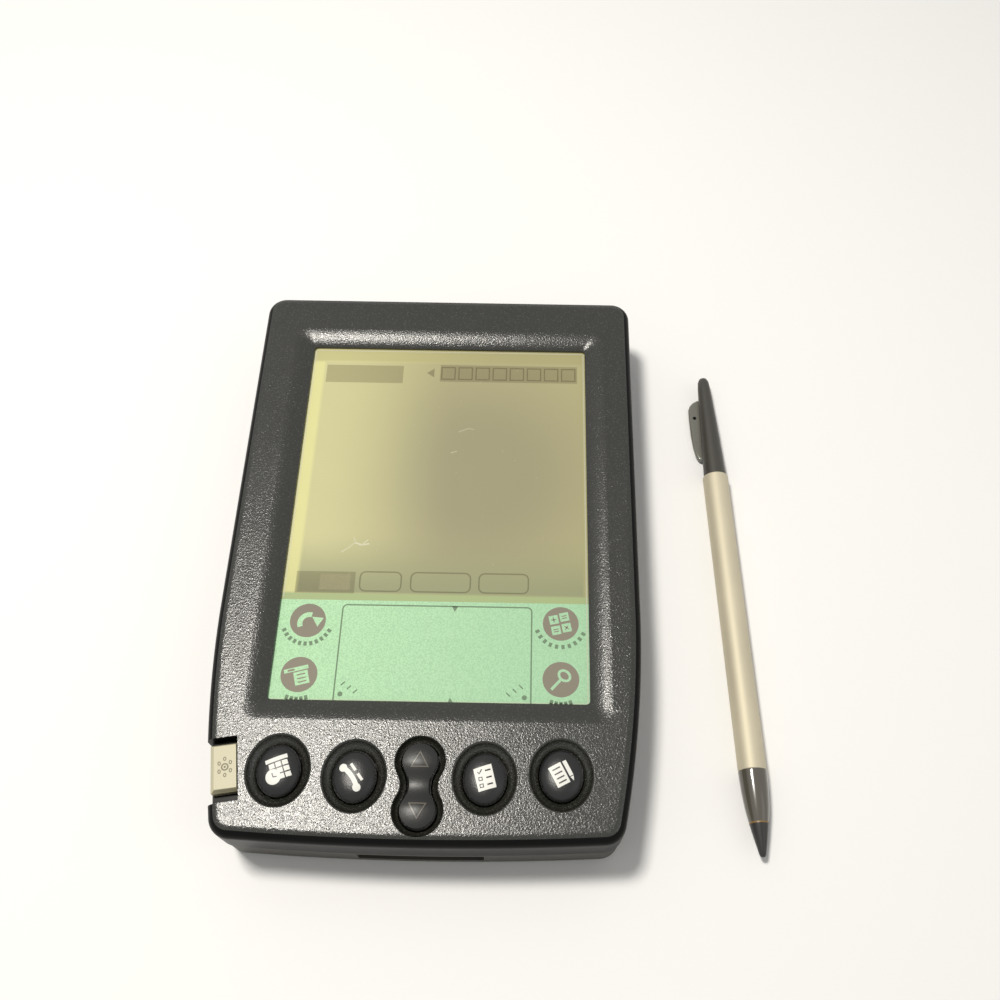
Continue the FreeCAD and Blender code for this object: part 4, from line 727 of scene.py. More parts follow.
# %% Application keys
def key_loops(centre, foot, shoulder, crown):
    """The loops of one key, from its foot to the last ring of its dome."""
    def ring(margin, height):
        return raised(oval(centre, KEY_WIDTH - margin * 2, KEY_LENGTH - margin * 2), height)

    reach = crown - shoulder
    half = KEY_WIDTH / 2
    loops = [ring(0.0, foot), ring(0.0, shoulder)]
    for margin in (0.03, 0.1, 0.22, 0.4, 0.65, 0.95, 1.3, 1.7, 2.1, 2.5, 2.9, 3.3, 3.65):
        rest = 1 - margin / half
        loops.append(ring(margin, shoulder + reach * (1 - rest ** 2.6) ** 0.6))
    return loops


key_caps = {}
for key_name, centre in key_centres.items():
    cap = stacked(key_name + "_cap", key_loops(centre, 15.0, 16.9, 18.45))
    smooth(cap, 50.0)
    key_caps[key_name] = dress(cap, key_black, key_name, "key_gloss", key_name)

# %% [markdown]
# The rocker has a rolled edge on a dumbbell outline. Its waist lies lower than its two lobes, and each
# lobe is a low dome, so its cover is cut into small faces that one height rule then bends.

# %% Scroll rocker
ROCKER_TOP = 18.45
ROCKER_SHOULDER = 16.9
SADDLE_DEPTH = 0.80
END_DROP = 0.55
SIDE_DROP = 0.42


def rocker_height(x, y):
    """The height of the rocker's cover in millimetres: two domes and a saddle between them."""
    away = abs(y - ROCKER_Y)
    if away < LOBE_OFFSET:
        drop = SADDLE_DEPTH * (1 + math.cos(math.pi * away / LOBE_OFFSET)) / 2
    else:
        drop = END_DROP * ((away - LOBE_OFFSET) / LOBE) ** 2
    return ROCKER_TOP - drop - SIDE_DROP * (x / LOBE) ** 2


rocker_loops = [raised(dumbbell(), 14.1), raised(dumbbell(), ROCKER_SHOULDER)]
for margin, share in ((0.05, 0.28), (0.18, 0.54), (0.38, 0.76), (0.65, 0.91), (0.95, 0.98), (1.25, 1.0),
                      (1.6, 1.0)):
    loop = []
    for x, y in dumbbell(-margin):
        rise = (rocker_height(x, y) - ROCKER_SHOULDER) * share
        loop.append(Vector((x, y, ROCKER_SHOULDER + rise)) * MM)
    rocker_loops.append(loop)
rocker = stacked("rocker", rocker_loops)
builder = bmesh.new()
builder.from_mesh(rocker.data)
builder.faces.ensure_lookup_table()
cover = max(builder.faces, key=lambda face: face.calc_center_median().z + len(face.verts))
rim = set(cover.verts)
parts = bmesh.ops.triangulate(builder, faces=[cover])["faces"]
for turn in range(3):
    inner = {edge for face in parts for edge in face.edges if not set(edge.verts) <= rim}
    bmesh.ops.subdivide_edges(builder, edges=list(inner), cuts=1, use_grid_fill=True)
    parts = [face for face in builder.faces if all(vertex.co.z > 17.3 * MM for vertex in face.verts)
             and not face.normal.z < 0.5]
    for vertex in {vertex for face in parts for vertex in face.verts} - rim:
        if abs(vertex.co.x) < LOBE * MM:
            vertex.co.z = max(vertex.co.z, rocker_height(vertex.co.x / MM, vertex.co.y / MM) * MM)
builder.to_mesh(rocker.data)
builder.free()
smooth(rocker, 50.0)
dress(rocker, rocker_black, "scroll_rocker", "rocker_gloss", "scroll_rocker")

# %% [markdown]
# The power key closes the notch in the lower left corner. It is a plain block whose outer, upper and
# lower edges are bevelled, and whose pale colour sets it off from the case. A flange under it closes
# the gap above and below the key, and its near-black finish is painted shade in that gap.

# %% Power key
POWER_GAP = 2.6


def power_loop(shift, shrink, height):
    """One loop of the power key, shifted towards the middle of the case and drawn in all round."""
    outline = rounded_box((shift, 0.35), POWER_WIDTH - shrink, POWER_LENGTH - POWER_GAP - shrink, 0.2, 3)
    return raised(tilted(outline), height)


power = stacked("power_cap", [power_loop(*numbers) for numbers in (
    (0.10, 0.0, 13.1), (0.10, 0.0, 16.8), (0.15, 0.2, 16.95), (0.38, 0.75, 17.75), (0.42, 0.95, 17.88))])
smooth(power, 25.0)
dress(power, power_cream, "power_key", "power_satin", "power_key")
flange = tilted(rounded_box((0.0, 0.0), POWER_WIDTH - 0.1, POWER_LENGTH - 0.1, 0.2, 3))
power_flange = stacked("power_flange", [raised(flange, 13.1), raised(flange, 15.2)])
# The flange's near-black finish is painted shade in the gaps round the key.
dress(power_flange, painted_shade_black, "power_key", "power_satin")

# %% [markdown]
# Printed marks and pictograms are thin patches of ink. A patch is a grid of flat points, laid over a
# flat film or a domed key by asking that surface for its height, then closed with sides and a foot,
# so that even the ink is a solid.

# %% Ink helpers
def surface_of(piece):
    """A function that gives a piece's upper surface height in millimetres at a flat point."""
    tree = BVHTree.FromPolygons([vertex.co for vertex in piece.data.vertices],
                                [tuple(face.vertices) for face in piece.data.polygons])

    def height_at(x, y):
        hit = tree.ray_cast(Vector((x * MM, y * MM, 0.05)), Vector((0, 0, -1)))[0]
        return hit.z / MM if hit else 0.0

    return height_at


def finely(points, pitch):
    """The same path with points added, so that no step is much longer than a pitch."""
    fine = [points[0]]
    for before, after in zip(points, points[1:]):
        before, after = Vector(before), Vector(after)
        parts = max(1, round((after - before).length / pitch))
        fine += [tuple(before.lerp(after, (part + 1) / parts)) for part in range(parts)]
    return fine


class Ink:
    """Thin closed patches in one mesh, laid over a surface."""

    def __init__(self, height_at, lift=0.02, depth=0.05, centre=(0.0, 0.0), turn=0.0, pitch=9.0):
        self.height_at = height_at
        self.pitch = pitch
        self.lift = lift
        self.depth = depth
        self.centre = centre
        self.cosine = math.cos(math.radians(turn))
        self.sine = math.sin(math.radians(turn))
        self.builder = bmesh.new()

    def vertex(self, spot, lift):
        """A point of the patch, turned and moved into place and laid on the surface."""
        x = self.centre[0] + spot[0] * self.cosine - spot[1] * self.sine
        y = self.centre[1] + spot[0] * self.sine + spot[1] * self.cosine
        return self.builder.verts.new(Vector((x, y, self.height_at(x, y) + lift)) * MM)

    def grid(self, rows, closed=False, filled=False):
        """A patch from rows of points. A closed patch runs round, and a filled one has no hole."""
        top = [[self.vertex(spot, self.lift) for spot in row] for row in rows]
        foot = [[self.vertex(spot, -self.depth) for spot in row] for row in rows]
        add = self.builder.faces.new
        count = len(rows[0])
        pairs = [(step, (step + 1) % count) for step in range(count if closed else count - 1)]
        for layer in (top, foot):
            for lower, upper in zip(layer, layer[1:]):
                for a, b in pairs:
                    add((lower[a], lower[b], upper[b], upper[a]))
        for a, b in pairs:
            add((top[0][a], top[0][b], foot[0][b], foot[0][a]))
        if filled:
            add(top[-1])
            add(foot[-1])
        else:
            for a, b in pairs:
                add((top[-1][a], top[-1][b], foot[-1][b], foot[-1][a]))
        if not closed:
            for column in (0, -1):
                for row in range(len(rows) - 1):
                    add((top[row][column], top[row + 1][column], foot[row + 1][column], foot[row][column]))
        return self

    def disc(self, x, y, radius, steps=32):
        """A filled circle, in rings so that it follows a dome."""
        widths = [radius * 2 * share for share in (1.0, 0.75, 0.5, 0.25)]
        return self.grid([oval((x, y), width, width, steps) for width in widths], True, True)

    def ring(self, x, y, width, length, line, steps=32):
        """An oval line, drawn in from its outer size."""
        return self.grid([oval((x, y), width, length, steps),
                          oval((x, y), width - line * 2, length - line * 2, steps)], True)

    def quad(self, a, b, c, d, parts=4):
        """A four-cornered patch, its corners in order round it."""
        rows = []
        for row in range(parts + 1):
            left = Vector(a).lerp(Vector(d), row / parts)
            right = Vector(b).lerp(Vector(c), row / parts)
            rows.append([tuple(left.lerp(right, column / parts)) for column in range(parts + 1)])
        return self.grid(rows)

    def box(self, x, y, width, length):
        """An upright rectangle round its centre."""
        left, right = x - width / 2, x + width / 2
        low, high = y - length / 2, y + length / 2
        return self.quad((left, low), (right, low), (right, high), (left, high))

    def triangle(self, a, b, tip):
        """A quad whose two last points almost meet at the tip."""
        return self.quad(a, b, tip, (tip[0] - 0.02, tip[1]))

    def line(self, points, width):
        """A ribbon along points."""
        points = finely(points, self.pitch)
        left = []
        right = []
        for step, point in enumerate(points):
            before = Vector(points[max(step - 1, 0)])
            after = Vector(points[min(step + 1, len(points) - 1)])
            along = (after - before).normalized() * width / 2
            left.append((point[0] - along.y, point[1] + along.x))
            right.append((point[0] + along.y, point[1] - along.x))
        return self.grid([left, right])

    def loop(self, points, width):
        """A closed ribbon, drawn in from its outline by its own width."""
        middle = sum((Vector(point) for point in points), Vector((0.0, 0.0))) / len(points)
        points = finely([*points, points[0]], self.pitch)[:-1]
        reach = max((Vector(point) - middle).length for point in points)
        inner = [tuple(middle + (Vector(point) - middle) * (1 - width / reach)) for point in points]
        return self.grid([points, inner], True)

    def finished(self, name, material, body="case", slot="touch_print"):
        """Close the mesh and dress it. Most ink lies on the film."""
        bmesh.ops.recalc_face_normals(self.builder, faces=self.builder.faces)
        mesh = bpy.data.meshes.new(name)
        self.builder.to_mesh(mesh)
        self.builder.free()
        return dress(placed(name, mesh), material, body, slot)


def round_path(corner_spots, radius, steps=5):
    """A path through corners, each right-angled one rounded."""
    points = [corner_spots[0]]
    for before, corner, after in zip(corner_spots, corner_spots[1:], corner_spots[2:]):
        back = (Vector(before) - Vector(corner)).normalized() * radius
        on = (Vector(after) - Vector(corner)).normalized() * radius
        for step in range(steps + 1):
            angle = math.pi / 2 * step / steps
            offset = back * (1 - math.sin(angle)) + on * (1 - math.cos(angle))
            points.append(tuple(Vector(corner) + offset))
    points.append(corner_spots[-1])
    return points


# %% [markdown]
# Each key carries a white pictogram of its use: a calendar with a clock, a telephone receiver, a
# ticked list and a note with a pencil. They are plain symbols drawn from bars, discs and boxes, and
# dark strokes lie on the white ones as their detail.

# %% Pictograms on the keys
SIGN_LIFT = 0.05
STROKE_LIFT = 0.08


def key_ink(key_name, turn, lift=SIGN_LIFT):
    """Ink that lies on one key's dome, turned about its centre."""
    return Ink(surface_of(key_caps[key_name]), lift, 0.08, key_centres[key_name], turn, pitch=0.35)


def finish_pictogram(key_name, white_ink, dark_ink=None):
    """Dress a key's white ink and its dark strokes."""
    white_ink.finished(key_name + "_sign", pictogram_white, key_name, "key_gloss")
    if dark_ink:
        dark_ink.finished(key_name + "_strokes", key_black, key_name, "key_gloss")


def draw_calendar():
    page = key_ink("calendar_key", 22.0)
    page.box(0.35, 1.75, 4.0, 0.75)
    for row in range(3):
        for column in range(3):
            if row < 1 or column > 0:
                page.box(-0.75 + column * 1.2, 0.7 - row * 1.1, 0.98, 0.86)
    page.disc(-1.0, -1.15, 1.35)
    hands = key_ink("calendar_key", 22.0, STROKE_LIFT)
    hands.line([(-1.0, -1.2), (-1.0, -0.45)], 0.2)
    hands.line([(-1.0, -1.15), (-0.35, -1.3)], 0.2)
    finish_pictogram("calendar_key", page, hands)


def draw_receiver():
    receiver = key_ink("contacts_key", 38.0)
    bow = [math.radians(-70 + 14 * step) for step in range(11)]
    receiver.line([(-1.1 + 0.75 * math.cos(angle), 2.3 * math.sin(angle)) for angle in bow], 0.85)
    receiver.disc(-0.75, 2.15, 0.72)
    receiver.disc(-0.75, -2.15, 0.72)
    receiver.line([(0.75, 1.9), (0.75, 0.4)], 0.5)
    receiver.line([(0.75, -0.3), (0.75, -1.7)], 0.5)
    finish_pictogram("contacts_key", receiver)


def draw_list():
    page = key_ink("tasks_key", 12.0)
    page.quad((-1.5, -2.35), (1.75, -2.05), (1.55, 2.15), (-1.75, 1.75), 6)
    strokes = key_ink("tasks_key", 12.0, STROKE_LIFT)
    strokes.line([(-1.15, 1.1), (-0.85, 0.75), (-0.3, 1.45)], 0.22)
    for y in (-0.2, -1.4):
        strokes.loop([(-1.15, y - 0.35), (-0.4, y - 0.35), (-0.4, y + 0.35), (-1.15, y + 0.35)], 0.22)
    for y in (1.1, -0.15, -1.35):
        strokes.line([(0.25, y), (1.25, y + 0.08)], 0.26)
    finish_pictogram("tasks_key", page, strokes)


def draw_note():
    page = key_ink("notes_key", 28.0)
    page.quad((-1.7, -1.9), (0.75, -1.9), (0.75, 2.0), (-1.7, 2.0), 6)
    page.line([(1.45, -1.0), (1.45, 1.9)], 0.72)
    page.triangle((1.12, -1.15), (1.78, -1.15), (1.45, -1.95))
    strokes = key_ink("notes_key", 28.0, STROKE_LIFT)
    for y in (1.25, 0.4, -0.45, -1.25):
        strokes.line([(-1.2, y), (0.3, y)], 0.24)
    finish_pictogram("notes_key", page, strokes)


draw_calendar()
draw_receiver()
draw_list()
draw_note()

# %% [markdown]
# The rocker carries two raised arrow heads, one on each lobe, lighter than the rocker as a painted
# highlight on their edges. The power key carries a pressed-in lamp sign: a ring with a dot, and six
# open petals round it, darker than the key as painted shade in its grooves.

# %% Signs on the rocker and the power key
arrows = Ink(surface_of(rocker), lift=0.10, centre=(0.0, ROCKER_Y), pitch=0.3)
for way in (1, -1):
    base = LOBE_OFFSET * way - 1.2 * way
    tip = LOBE_OFFSET * way + 1.7 * way
    arrows.loop([(-1.65, base), (1.65, base), (0.0, tip)], 0.42)
arrows.finished("rocker_arrows", painted_arrow_highlight, "scroll_rocker", "rocker_gloss")

lamp_sign = Ink(surface_of(power), lift=0.015, centre=(POWER_CENTRE[0] + 0.35, POWER_CENTRE[1] + 0.4),
                turn=math.degrees(POWER_TILT))
lamp_sign.ring(0.0, 0.0, 1.35, 1.35, 0.24)
lamp_sign.disc(0.0, 0.0, 0.2, 12)
for step in range(6):
    angle = math.radians(90 + 60 * step)
    lamp_sign.ring(1.15 * math.cos(angle), 1.45 * math.sin(angle), 0.58, 0.78, 0.16, 16)
lamp_sign.finished("lamp_sign", painted_groove_shade, "power_key", "power_satin")

# %% [markdown]
# The screen is two thin sheets in the place of the touch film: the display face above, and the
# printed writing area below it. Both keep the film's own outline and thickness.

# %% Screen sheets
film_low, film_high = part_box("touch_film")
BORDER_Y = -13.45


def sheet_between(name, y_low, y_high):
    """A flat block as wide and thick as the touch film, between two heights up the screen."""
    left = film_low[0] / MM
    right = film_high[0] / MM
    loop = [(left, y_low), (right, y_low), (right, y_high), (left, y_high)]
    return stacked(name, [raised(loop, film_low[2] / MM), raised(loop, film_high[2] / MM)])


display_sheet = sheet_between("display_face", BORDER_Y, film_high[1] / MM)
dress(display_sheet, display_face, "case", "touch_print", "touch_film")
print_sheet = sheet_between("writing_area", film_low[1] / MM, BORDER_Y)
dress(print_sheet, mint_print, "case", "touch_print")
FILM_TOP = film_high[2] / MM


def on_film(x, y):
    """The film's height, the same everywhere."""
    return FILM_TOP


# %% [markdown]
# The writing area is a box with an open foot, two small pointers at its middle and a dot in each
# lower corner. Round it lie four brown discs with mint symbols. Where the captions would be, there are
# plain rows of ticks.

# %% Writing area
DISC_LIFT = 0.010
LINE_LIFT = 0.012
SYMBOL_LIFT = 0.016
DETAIL_LIFT = 0.022
lines = Ink(on_film, LINE_LIFT)
lines.line(round_path([(-17.1, -34.2), (-17.0, -14.4), (19.6, -14.4), (19.6, -34.2)], 0.9), 0.28)
lines.triangle((4.1, -14.4), (5.3, -14.4), (4.7, -15.5))
lines.triangle((4.1, -33.7), (5.3, -33.7), (4.6, -32.7))
lines.disc(-15.9, -32.3, 0.48)
lines.disc(18.4, -32.4, 0.48)
for step in range(3):
    along, down = step * 1.2, step * 0.75
    lines.line([(-15.9 + along, -30.6 - down), (-15.2 + along, -29.9 - down)], 0.26)
    lines.line([(18.1 - along, -30.7 - down), (17.4 - along, -30.0 - down)], 0.26)
lines.finished("writing_lines", line_green)

DISC_RADIUS = 3.45
disc_centres = ((-23.5, -17.8), (-23.95, -28.65), (25.2, -17.6), (25.2, -28.75))
discs = Ink(on_film, DISC_LIFT)
for x, y in disc_centres:
    discs.disc(x, y, DISC_RADIUS, 48)
discs.finished("symbol_discs", disc_brown)

symbols = Ink(on_film, SYMBOL_LIFT, centre=disc_centres[0])
sweep = [math.radians(205 - 13 * step) for step in range(11)]
symbols.line([(0.25 + 1.75 * math.cos(angle), -0.55 + 1.75 * math.sin(angle)) for angle in sweep], 1.0)
symbols.triangle((0.75, 0.75), (3.0, 0.55), (1.95, -1.25))
symbols.finished("arrow_symbol", mint_print)

symbols = Ink(on_film, SYMBOL_LIFT, centre=disc_centres[1], turn=15.0)
symbols.box(-0.35, 1.15, 4.6, 0.75)
symbols.box(0.35, -0.75, 2.7, 2.6)
symbols.finished("menu_symbol", mint_print)
details = Ink(on_film, DETAIL_LIFT, centre=disc_centres[1], turn=15.0)
for y in (-0.05, -0.8, -1.5):
    details.line([(-0.45, y), (1.15, y)], 0.24)
details.box(-1.3, 1.15, 1.3, 0.35)
details.finished("menu_details", disc_brown)

symbols = Ink(on_film, SYMBOL_LIFT, centre=disc_centres[2], turn=12.0)
details = Ink(on_film, DETAIL_LIFT, centre=disc_centres[2], turn=12.0)
for x, y, turn in ((-1.15, 1.05, 0.0), (0.95, 1.25, None), (0.95, -1.0, math.pi / 4), (-1.15, -1.15, None)):
    symbols.box(x, y, 1.75, 1.75)
    if turn is None:
        for rise in (0.2, -0.25):
            details.line([(x - 0.5, y + rise), (x + 0.5, y + rise)], 0.2)
        continue
    for angle in (turn, turn + math.pi / 2):
        dx = 0.5 * math.cos(angle)
        dy = 0.5 * math.sin(angle)
        details.line([(x - dx, y - dy), (x + dx, y + dy)], 0.2)
symbols.finished("sums_symbol", mint_print)
details.finished("sums_details", disc_brown)

symbols = Ink(on_film, SYMBOL_LIFT, centre=disc_centres[3], turn=-42.0)
symbols.ring(0.0, 1.0, 2.8, 2.3, 0.5)
symbols.line([(0.0, -0.15), (0.0, -2.7)], 0.55)
symbols.finished("lens_symbol", mint_print)

# %% [markdown]
# An unlit display still shows the ghost of its last picture. These faint tints repeat its layout with
# plain bars, boxes and buttons, and hold no words.

# %% Ghost picture
shade = Ink(on_film, lift=0.004)
shade.box(-17.6, 40.1, 16.8, 4.6)
shade.box(13.9, 40.6, 30.0, 4.4)
shade.box(-21.0, -9.7, 11.6, 4.6)
shade.finished("ghost_shade", ghost_dark)
cell = Ink(on_film, lift=0.008)
cell.box(-19.1, -9.6, 6.0, 3.4)
cell.finished("ghost_cell", ghost_cell)
outlines = Ink(on_film, lift=0.008)
outlines.triangle((-2.4, 39.5), (-2.4, 41.8), (-4.0, 40.6))
for step in range(8):
    x = 0.7 + step * 3.75
    outlines.loop([(x - 1.6, 38.9), (x + 1.6, 38.9), (x + 1.6, 42.3), (x - 1.6, 42.3)], 0.42)
for left, right in ((-14.4, -6.0), (-4.4, 7.6), (9.0, 19.0)):
    middle = (left + right) / 2
    outer = rounded_box((middle, -9.4), right - left, 4.4, 1.3, 5)
    inner = rounded_box((middle, -9.4), right - left - 0.6, 3.8, 1.0, 5)
    outlines.grid([outer, inner], True)
outlines.finished("ghost_outlines", ghost_line)
# The pale lines along the film's edges are painted highlights where the edges catch the light; they are not
# part of the ghost picture.
edge_highlights = Ink(on_film, lift=0.010)
edge_highlights.line([(30.25, -33.4), (30.25, 46.3)], 0.30)
edge_highlights.line([(-28.85, -13.0), (-28.85, 46.3)], 0.32)
edge_highlights.line([(-28.6, 46.25), (30.0, 46.25)], 0.26)
edge_highlights.line([(-28.8, -33.4), (30.1, -33.4)], 0.22)
edge_highlights.finished("painted_film_edges", painted_edge_highlight)
scratches = Ink(on_film, LINE_LIFT)
scratches.line([(-18.6, -3.2), (-17.0, -2.0), (-15.9, -0.9), (-16.3, 0.2)], 0.16)
scratches.line([(-16.0, -1.0), (-14.6, -1.5), (-13.1, -1.2)], 0.34)
scratches.line([(-14.5, -1.4), (-13.4, -0.3)], 0.2)
scratches.line([(3.6, 25.5), (5.6, 26.4), (6.8, 26.2)], 0.10)
scratches.line([(2.2, 20.3), (3.4, 20.7)], 0.12)
scratches.finished("scratches", scratch_white)

# %% [markdown]
# Small repeated marks come from Geometry Nodes. One group lays ticks along an arc, for the caption
# rows. The other scatters dust specks over the screen with a fixed seed. Each result is turned into a
# plain mesh straight away.

# %% Repeated marks
def geometry_group(name, inputs):
    """An empty Geometry Nodes group with its inputs and one geometry output."""
    tree = bpy.data.node_groups.new(name, "GeometryNodeTree")
    for label, kind in inputs:
        tree.interface.new_socket(name=label, in_out="INPUT", socket_type=kind)
    tree.interface.new_socket(name="Geometry", in_out="OUTPUT", socket_type="NodeSocketGeometry")
    return tree, tree.nodes.new("NodeGroupInput"), tree.nodes.new("NodeGroupOutput")


def wire(tree, *pairs):
    """Link each output socket to its input socket."""
    for output, entry in pairs:
        tree.links.new(output, entry)


def finish_instances(tree, start, end, instances, place):
    """Realize the instances, move them into place and give them their material."""
    realize = tree.nodes.new("GeometryNodeRealizeInstances")
    move = tree.nodes.new("GeometryNodeTransform")
    paint = tree.nodes.new("GeometryNodeSetMaterial")
    wire(tree,
         (instances, realize.inputs[0]),
         (realize.outputs[0], move.inputs["Geometry"]),
         (place, move.inputs["Translation"]),
         (move.outputs[0], paint.inputs["Geometry"]),
         (start.outputs["Material"], paint.inputs["Material"]),
         (paint.outputs[0], end.inputs[0]))


def make_tick_group():
    """Count boxes of one size along an arc, each turned to it."""
    tree, start, end = geometry_group("ticks_on_an_arc", [
        ("Count", "NodeSocketInt"), ("Radius", "NodeSocketFloat"), ("Start Angle", "NodeSocketFloat"),
        ("Sweep Angle", "NodeSocketFloat"), ("Tick Size", "NodeSocketVector"), ("Place", "NodeSocketVector"),
        ("Material", "NodeSocketMaterial"),
    ])
    arc = tree.nodes.new("GeometryNodeCurveArc")
    points = tree.nodes.new("GeometryNodeResampleCurve")
    tangent = tree.nodes.new("GeometryNodeInputTangent")
    align = tree.nodes.new("FunctionNodeAlignRotationToVector")
    align.axis = "X"
    tick = tree.nodes.new("GeometryNodeMeshCube")
    place_ticks = tree.nodes.new("GeometryNodeInstanceOnPoints")
    for label in ("Radius", "Start Angle", "Sweep Angle"):
        tree.links.new(start.outputs[label], arc.inputs[label])
    wire(tree,
         (arc.outputs[0], points.inputs["Curve"]),
         (start.outputs["Count"], points.inputs["Count"]),
         (tangent.outputs[0], align.inputs["Vector"]),
         (start.outputs["Tick Size"], tick.inputs["Size"]),
         (points.outputs[0], place_ticks.inputs["Points"]),
         (tick.outputs[0], place_ticks.inputs["Instance"]),
         (align.outputs[0], place_ticks.inputs["Rotation"]))
    finish_instances(tree, start, end, place_ticks.outputs[0], start.outputs["Place"])
    return tree


def make_speck_group():
    """Small balls of random size, scattered over a flat field."""
    tree, start, end = geometry_group("scattered_specks", [
        ("Width", "NodeSocketFloat"), ("Length", "NodeSocketFloat"), ("Density", "NodeSocketFloat"),
        ("Seed", "NodeSocketInt"), ("Speck Radius", "NodeSocketFloat"), ("Place", "NodeSocketVector"),
        ("Material", "NodeSocketMaterial"),
    ])
    field = tree.nodes.new("GeometryNodeMeshGrid")
    scatter = tree.nodes.new("GeometryNodeDistributePointsOnFaces")
    speck = tree.nodes.new("GeometryNodeMeshIcoSphere")
    speck.inputs["Subdivisions"].default_value = 1
    scale = tree.nodes.new("FunctionNodeRandomValue")
    scale.inputs[2].default_value = 0.4
    scale.inputs[3].default_value = 1.6
    place_specks = tree.nodes.new("GeometryNodeInstanceOnPoints")
    wire(tree,
         (start.outputs["Width"], field.inputs["Size X"]),
         (start.outputs["Length"], field.inputs["Size Y"]),
         (field.outputs[0], scatter.inputs["Mesh"]),
         (start.outputs["Density"], scatter.inputs["Density"]),
         (start.outputs["Seed"], scatter.inputs["Seed"]),
         (start.outputs["Seed"], scale.inputs["Seed"]),
         (start.outputs["Speck Radius"], speck.inputs["Radius"]),
         (scatter.outputs[0], place_specks.inputs["Points"]),
         (speck.outputs[0], place_specks.inputs["Instance"]),
         (scale.outputs[1], place_specks.inputs["Scale"]))
    finish_instances(tree, start, end, place_specks.outputs[0], start.outputs["Place"])
    return tree


def grown(name, group, values):
    """Run a Geometry Nodes group with its inputs, and keep the result as a plain mesh."""
    piece = placed(name, bpy.data.meshes.new(name))
    modifier = piece.modifiers.new(name, "NODES")
    modifier.node_group = group
    for item in group.interface.items_tree:
        if item.in_out == "INPUT":
            modifier[item.identifier] = values[item.name]
    apply_modifiers(piece)
    return dress(piece, values["Material"], "case", "touch_print")


tick_group = make_tick_group()
speck_group = make_speck_group()
caption_rows = (
    ("caption_one", disc_centres[0], 11, 205.0, 130.0),
    ("caption_two", disc_centres[2], 10, 200.0, 135.0),
    ("caption_three", disc_centres[1], 5, 248.0, 44.0),
    ("caption_four", disc_centres[3], 5, 248.0, 44.0),
)
for name, centre, count, start_angle, sweep_angle in caption_rows:
    grown(name, tick_group, {
        "Count": count, "Radius": 4.75 * MM, "Start Angle": math.radians(start_angle),
        "Sweep Angle": math.radians(sweep_angle), "Tick Size": (0.62 * MM, 0.85 * MM, 0.02 * MM),
        "Place": (centre[0] * MM, centre[1] * MM, FILM_TOP * MM), "Material": line_green,
    })
grown("screen_dust", speck_group, {
    "Width": 56.0 * MM, "Length": 56.0 * MM, "Density": 12000.0, "Seed": 7, "Speck Radius": 0.07 * MM,
    "Place": (0.0, 16.0 * MM, FILM_TOP * MM), "Material": scratch_white,
})

# %% [markdown]
# The pen lies along a line that is turned a little from the case. Its pieces are turned on a lathe,
# so each is a profile of radius against distance from the nib, swept round that line. The clip is a
# flat leaf under the cap.

# %% Pen
PEN_START = Vector((63.1, -57.9, 2.75)) * MM
PEN_TURN = math.radians(2.14)
PEN_FRAME = Matrix.Translation(PEN_START) @ Matrix.Rotation(PEN_TURN, 4, "Z")


def lathe(name, profile, steps=48):
    """A piece of the pen from (distance, radius) pairs in millimetres."""
    loops = []
    for distance, radius in profile:
        loop = []
        for step in range(steps):
            angle = 2 * math.pi * step / steps
            point = Vector((radius * math.sin(angle), distance, radius * math.cos(angle))) * MM
            loop.append(PEN_FRAME @ point)
        loops.append(loop)
    return stacked(name, loops)


nib = lathe("nib", ((0.0, 0.25), (0.12, 0.45), (0.4, 0.62), (1.4, 0.85), (4.4, 1.50), (6.0, 1.80)))
collar = lathe("collar", ((6.3, 1.84), (7.0, 2.0), (9.0, 2.32), (12.0, 2.60), (15.6, 2.75), (15.9, 2.70)))
seam = lathe("seam", ((6.0, 1.83), (6.3, 1.85)))
barrel = lathe("barrel", ((15.9, 2.66), (16.0, 2.75), (80.6, 2.75), (80.8, 2.66)))
cap = lathe("cap", ((80.8, 2.40), (81.0, 2.45), (94.0, 1.95), (104.5, 1.42), (106.2, 1.25), (107.0, 0.9),
                    (107.3, 0.3)))
LEAF = ((-1.7, 102.2), (-2.7, 101.6), (-3.5, 100.7), (-3.9, 99.6), (-3.98, 97.5), (-3.98, 93.0),
        (-3.75, 89.5), (-3.35, 87.2), (-2.8, 86.2), (-2.2, 85.85), (1.7, 85.85), (1.7, 102.2))
leaf_loops = []
for inset, height in ((0.25, -2.15), (0.0, -1.9), (0.0, -1.55), (0.12, -1.32), (0.42, -1.18), (0.9, -1.12)):
    loop = []
    for x, y in LEAF:
        shift = Vector((-1.15 - x, 94.0 - y, 0)).normalized() * inset
        loop.append(PEN_FRAME @ (Vector((x + shift.x, y + shift.y, height)) * MM))
    leaf_loops.append(loop)
leaf = stacked("clip_leaf", leaf_loops)
dress(leaf, clip_grey, "pen_cap", "pen_grey", "pen_clip")
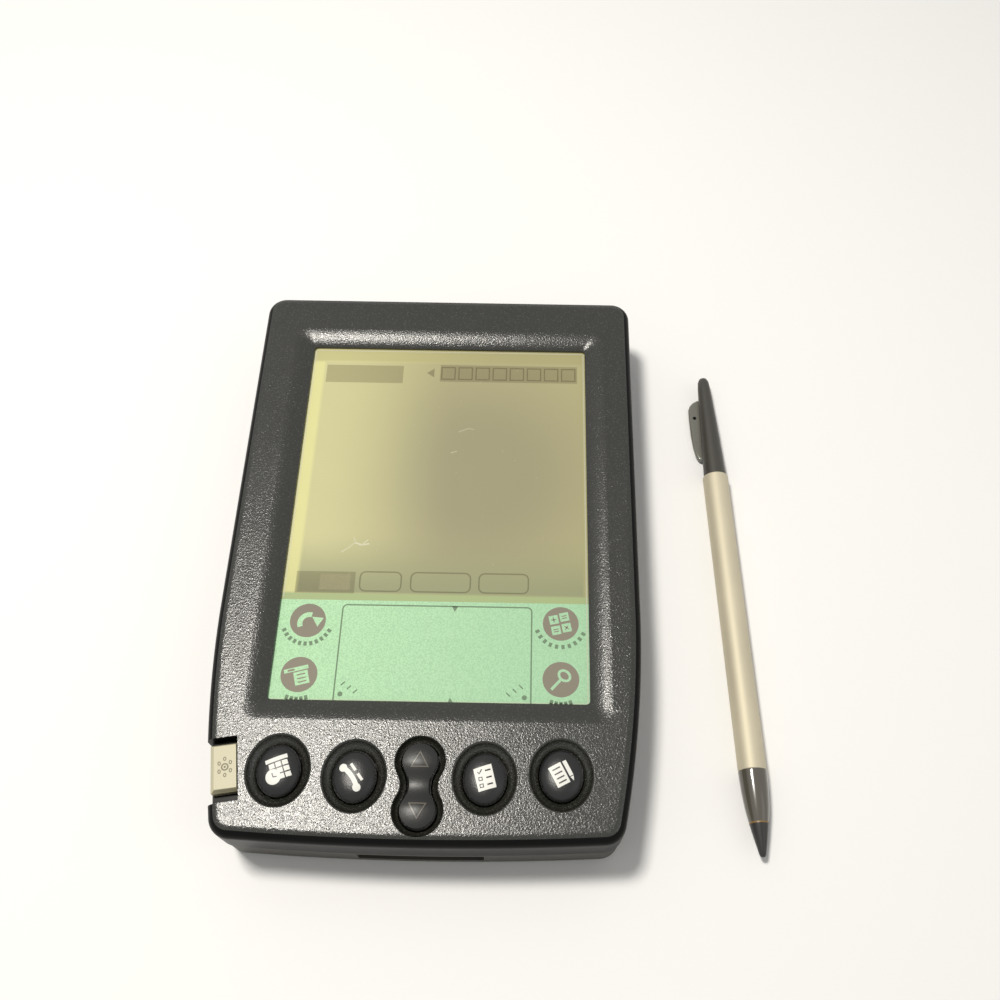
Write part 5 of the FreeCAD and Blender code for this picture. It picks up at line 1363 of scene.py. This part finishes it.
# The clip's dimple is a flat black disc: painted shade in place of a recess.
dimple_spot = PEN_FRAME @ (Vector((-2.75, 97.2, 0.0)) * MM)
recess_shade = Ink(surface_of(leaf), lift=0.02, centre=(dimple_spot.x / MM, dimple_spot.y / MM))
recess_shade.disc(0.0, 0.0, 0.42, 16)
recess_shade.finished("clip_recess_shade", painted_shade_black, "pen_cap", "pen_grey")
for piece in (nib, collar, seam, barrel, cap, leaf):
    smooth(piece, 40.0)
dress(nib, nib_black, "pen", "nib", "pen_nib")
dress(collar, collar_gloss, "pen", "collar", "pen_collar")
dress(seam, seam_brown, "pen", "collar")
dress(barrel, barrel_metal, "pen", "barrel", "pen_barrel")
dress(cap, cap_black, "pen_cap", "pen_black", "pen_cap")

# %% [markdown]
# The rear shell, the battery door, the contrast wheel and the infrared window keep the packed
# shapes. A copy of each is merged and shaded smoothly, so that its facets don't show.

# %% Smooth copies
def smooth_copy(node_name, material, body, slot, degrees=35.0):
    """Stand a merged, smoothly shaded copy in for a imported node."""
    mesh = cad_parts[node_name].data.copy()
    builder = bmesh.new()
    builder.from_mesh(mesh)
    bmesh.ops.remove_doubles(builder, verts=builder.verts, dist=1e-6)
    builder.to_mesh(mesh)
    builder.free()
    piece = placed(node_name + "_skin", mesh)
    smooth(piece, degrees)
    return dress(piece, material, body, slot, node_name)


smooth_copy("rear_case", rear_grey, "case", "rear_shell", 15.0)
smooth_copy("battery_door", rear_grey, "battery_door", "rear_shell", 15.0)
smooth_copy("contrast_wheel", case_black, "contrast_wheel", "wheel")
smooth_copy("infrared_window", window_red, "case", "infrared")

# %% [markdown]
# The table is one wide pale plane that takes the shadows.

# %% Stage
floor_mesh = bpy.data.meshes.new("floor")
floor_mesh.from_pydata([(-3, -3, 0), (3, -3, 0), (3, 3, 0), (-3, 3, 0)], [], [(0, 1, 2, 3)])
floor = placed("floor", floor_mesh)
floor_finish = bpy.data.materials.new("pale_floor")
floor_finish.use_nodes = True
floor_tree = floor_finish.node_tree
floor_shader = floor_tree.nodes["Principled BSDF"]
floor_shader.inputs["Base Color"].default_value = (0.96, 0.96, 0.97, 1.0)
floor_shader.inputs["Roughness"].default_value = 0.9
floor_mesh.materials.append(floor_finish)
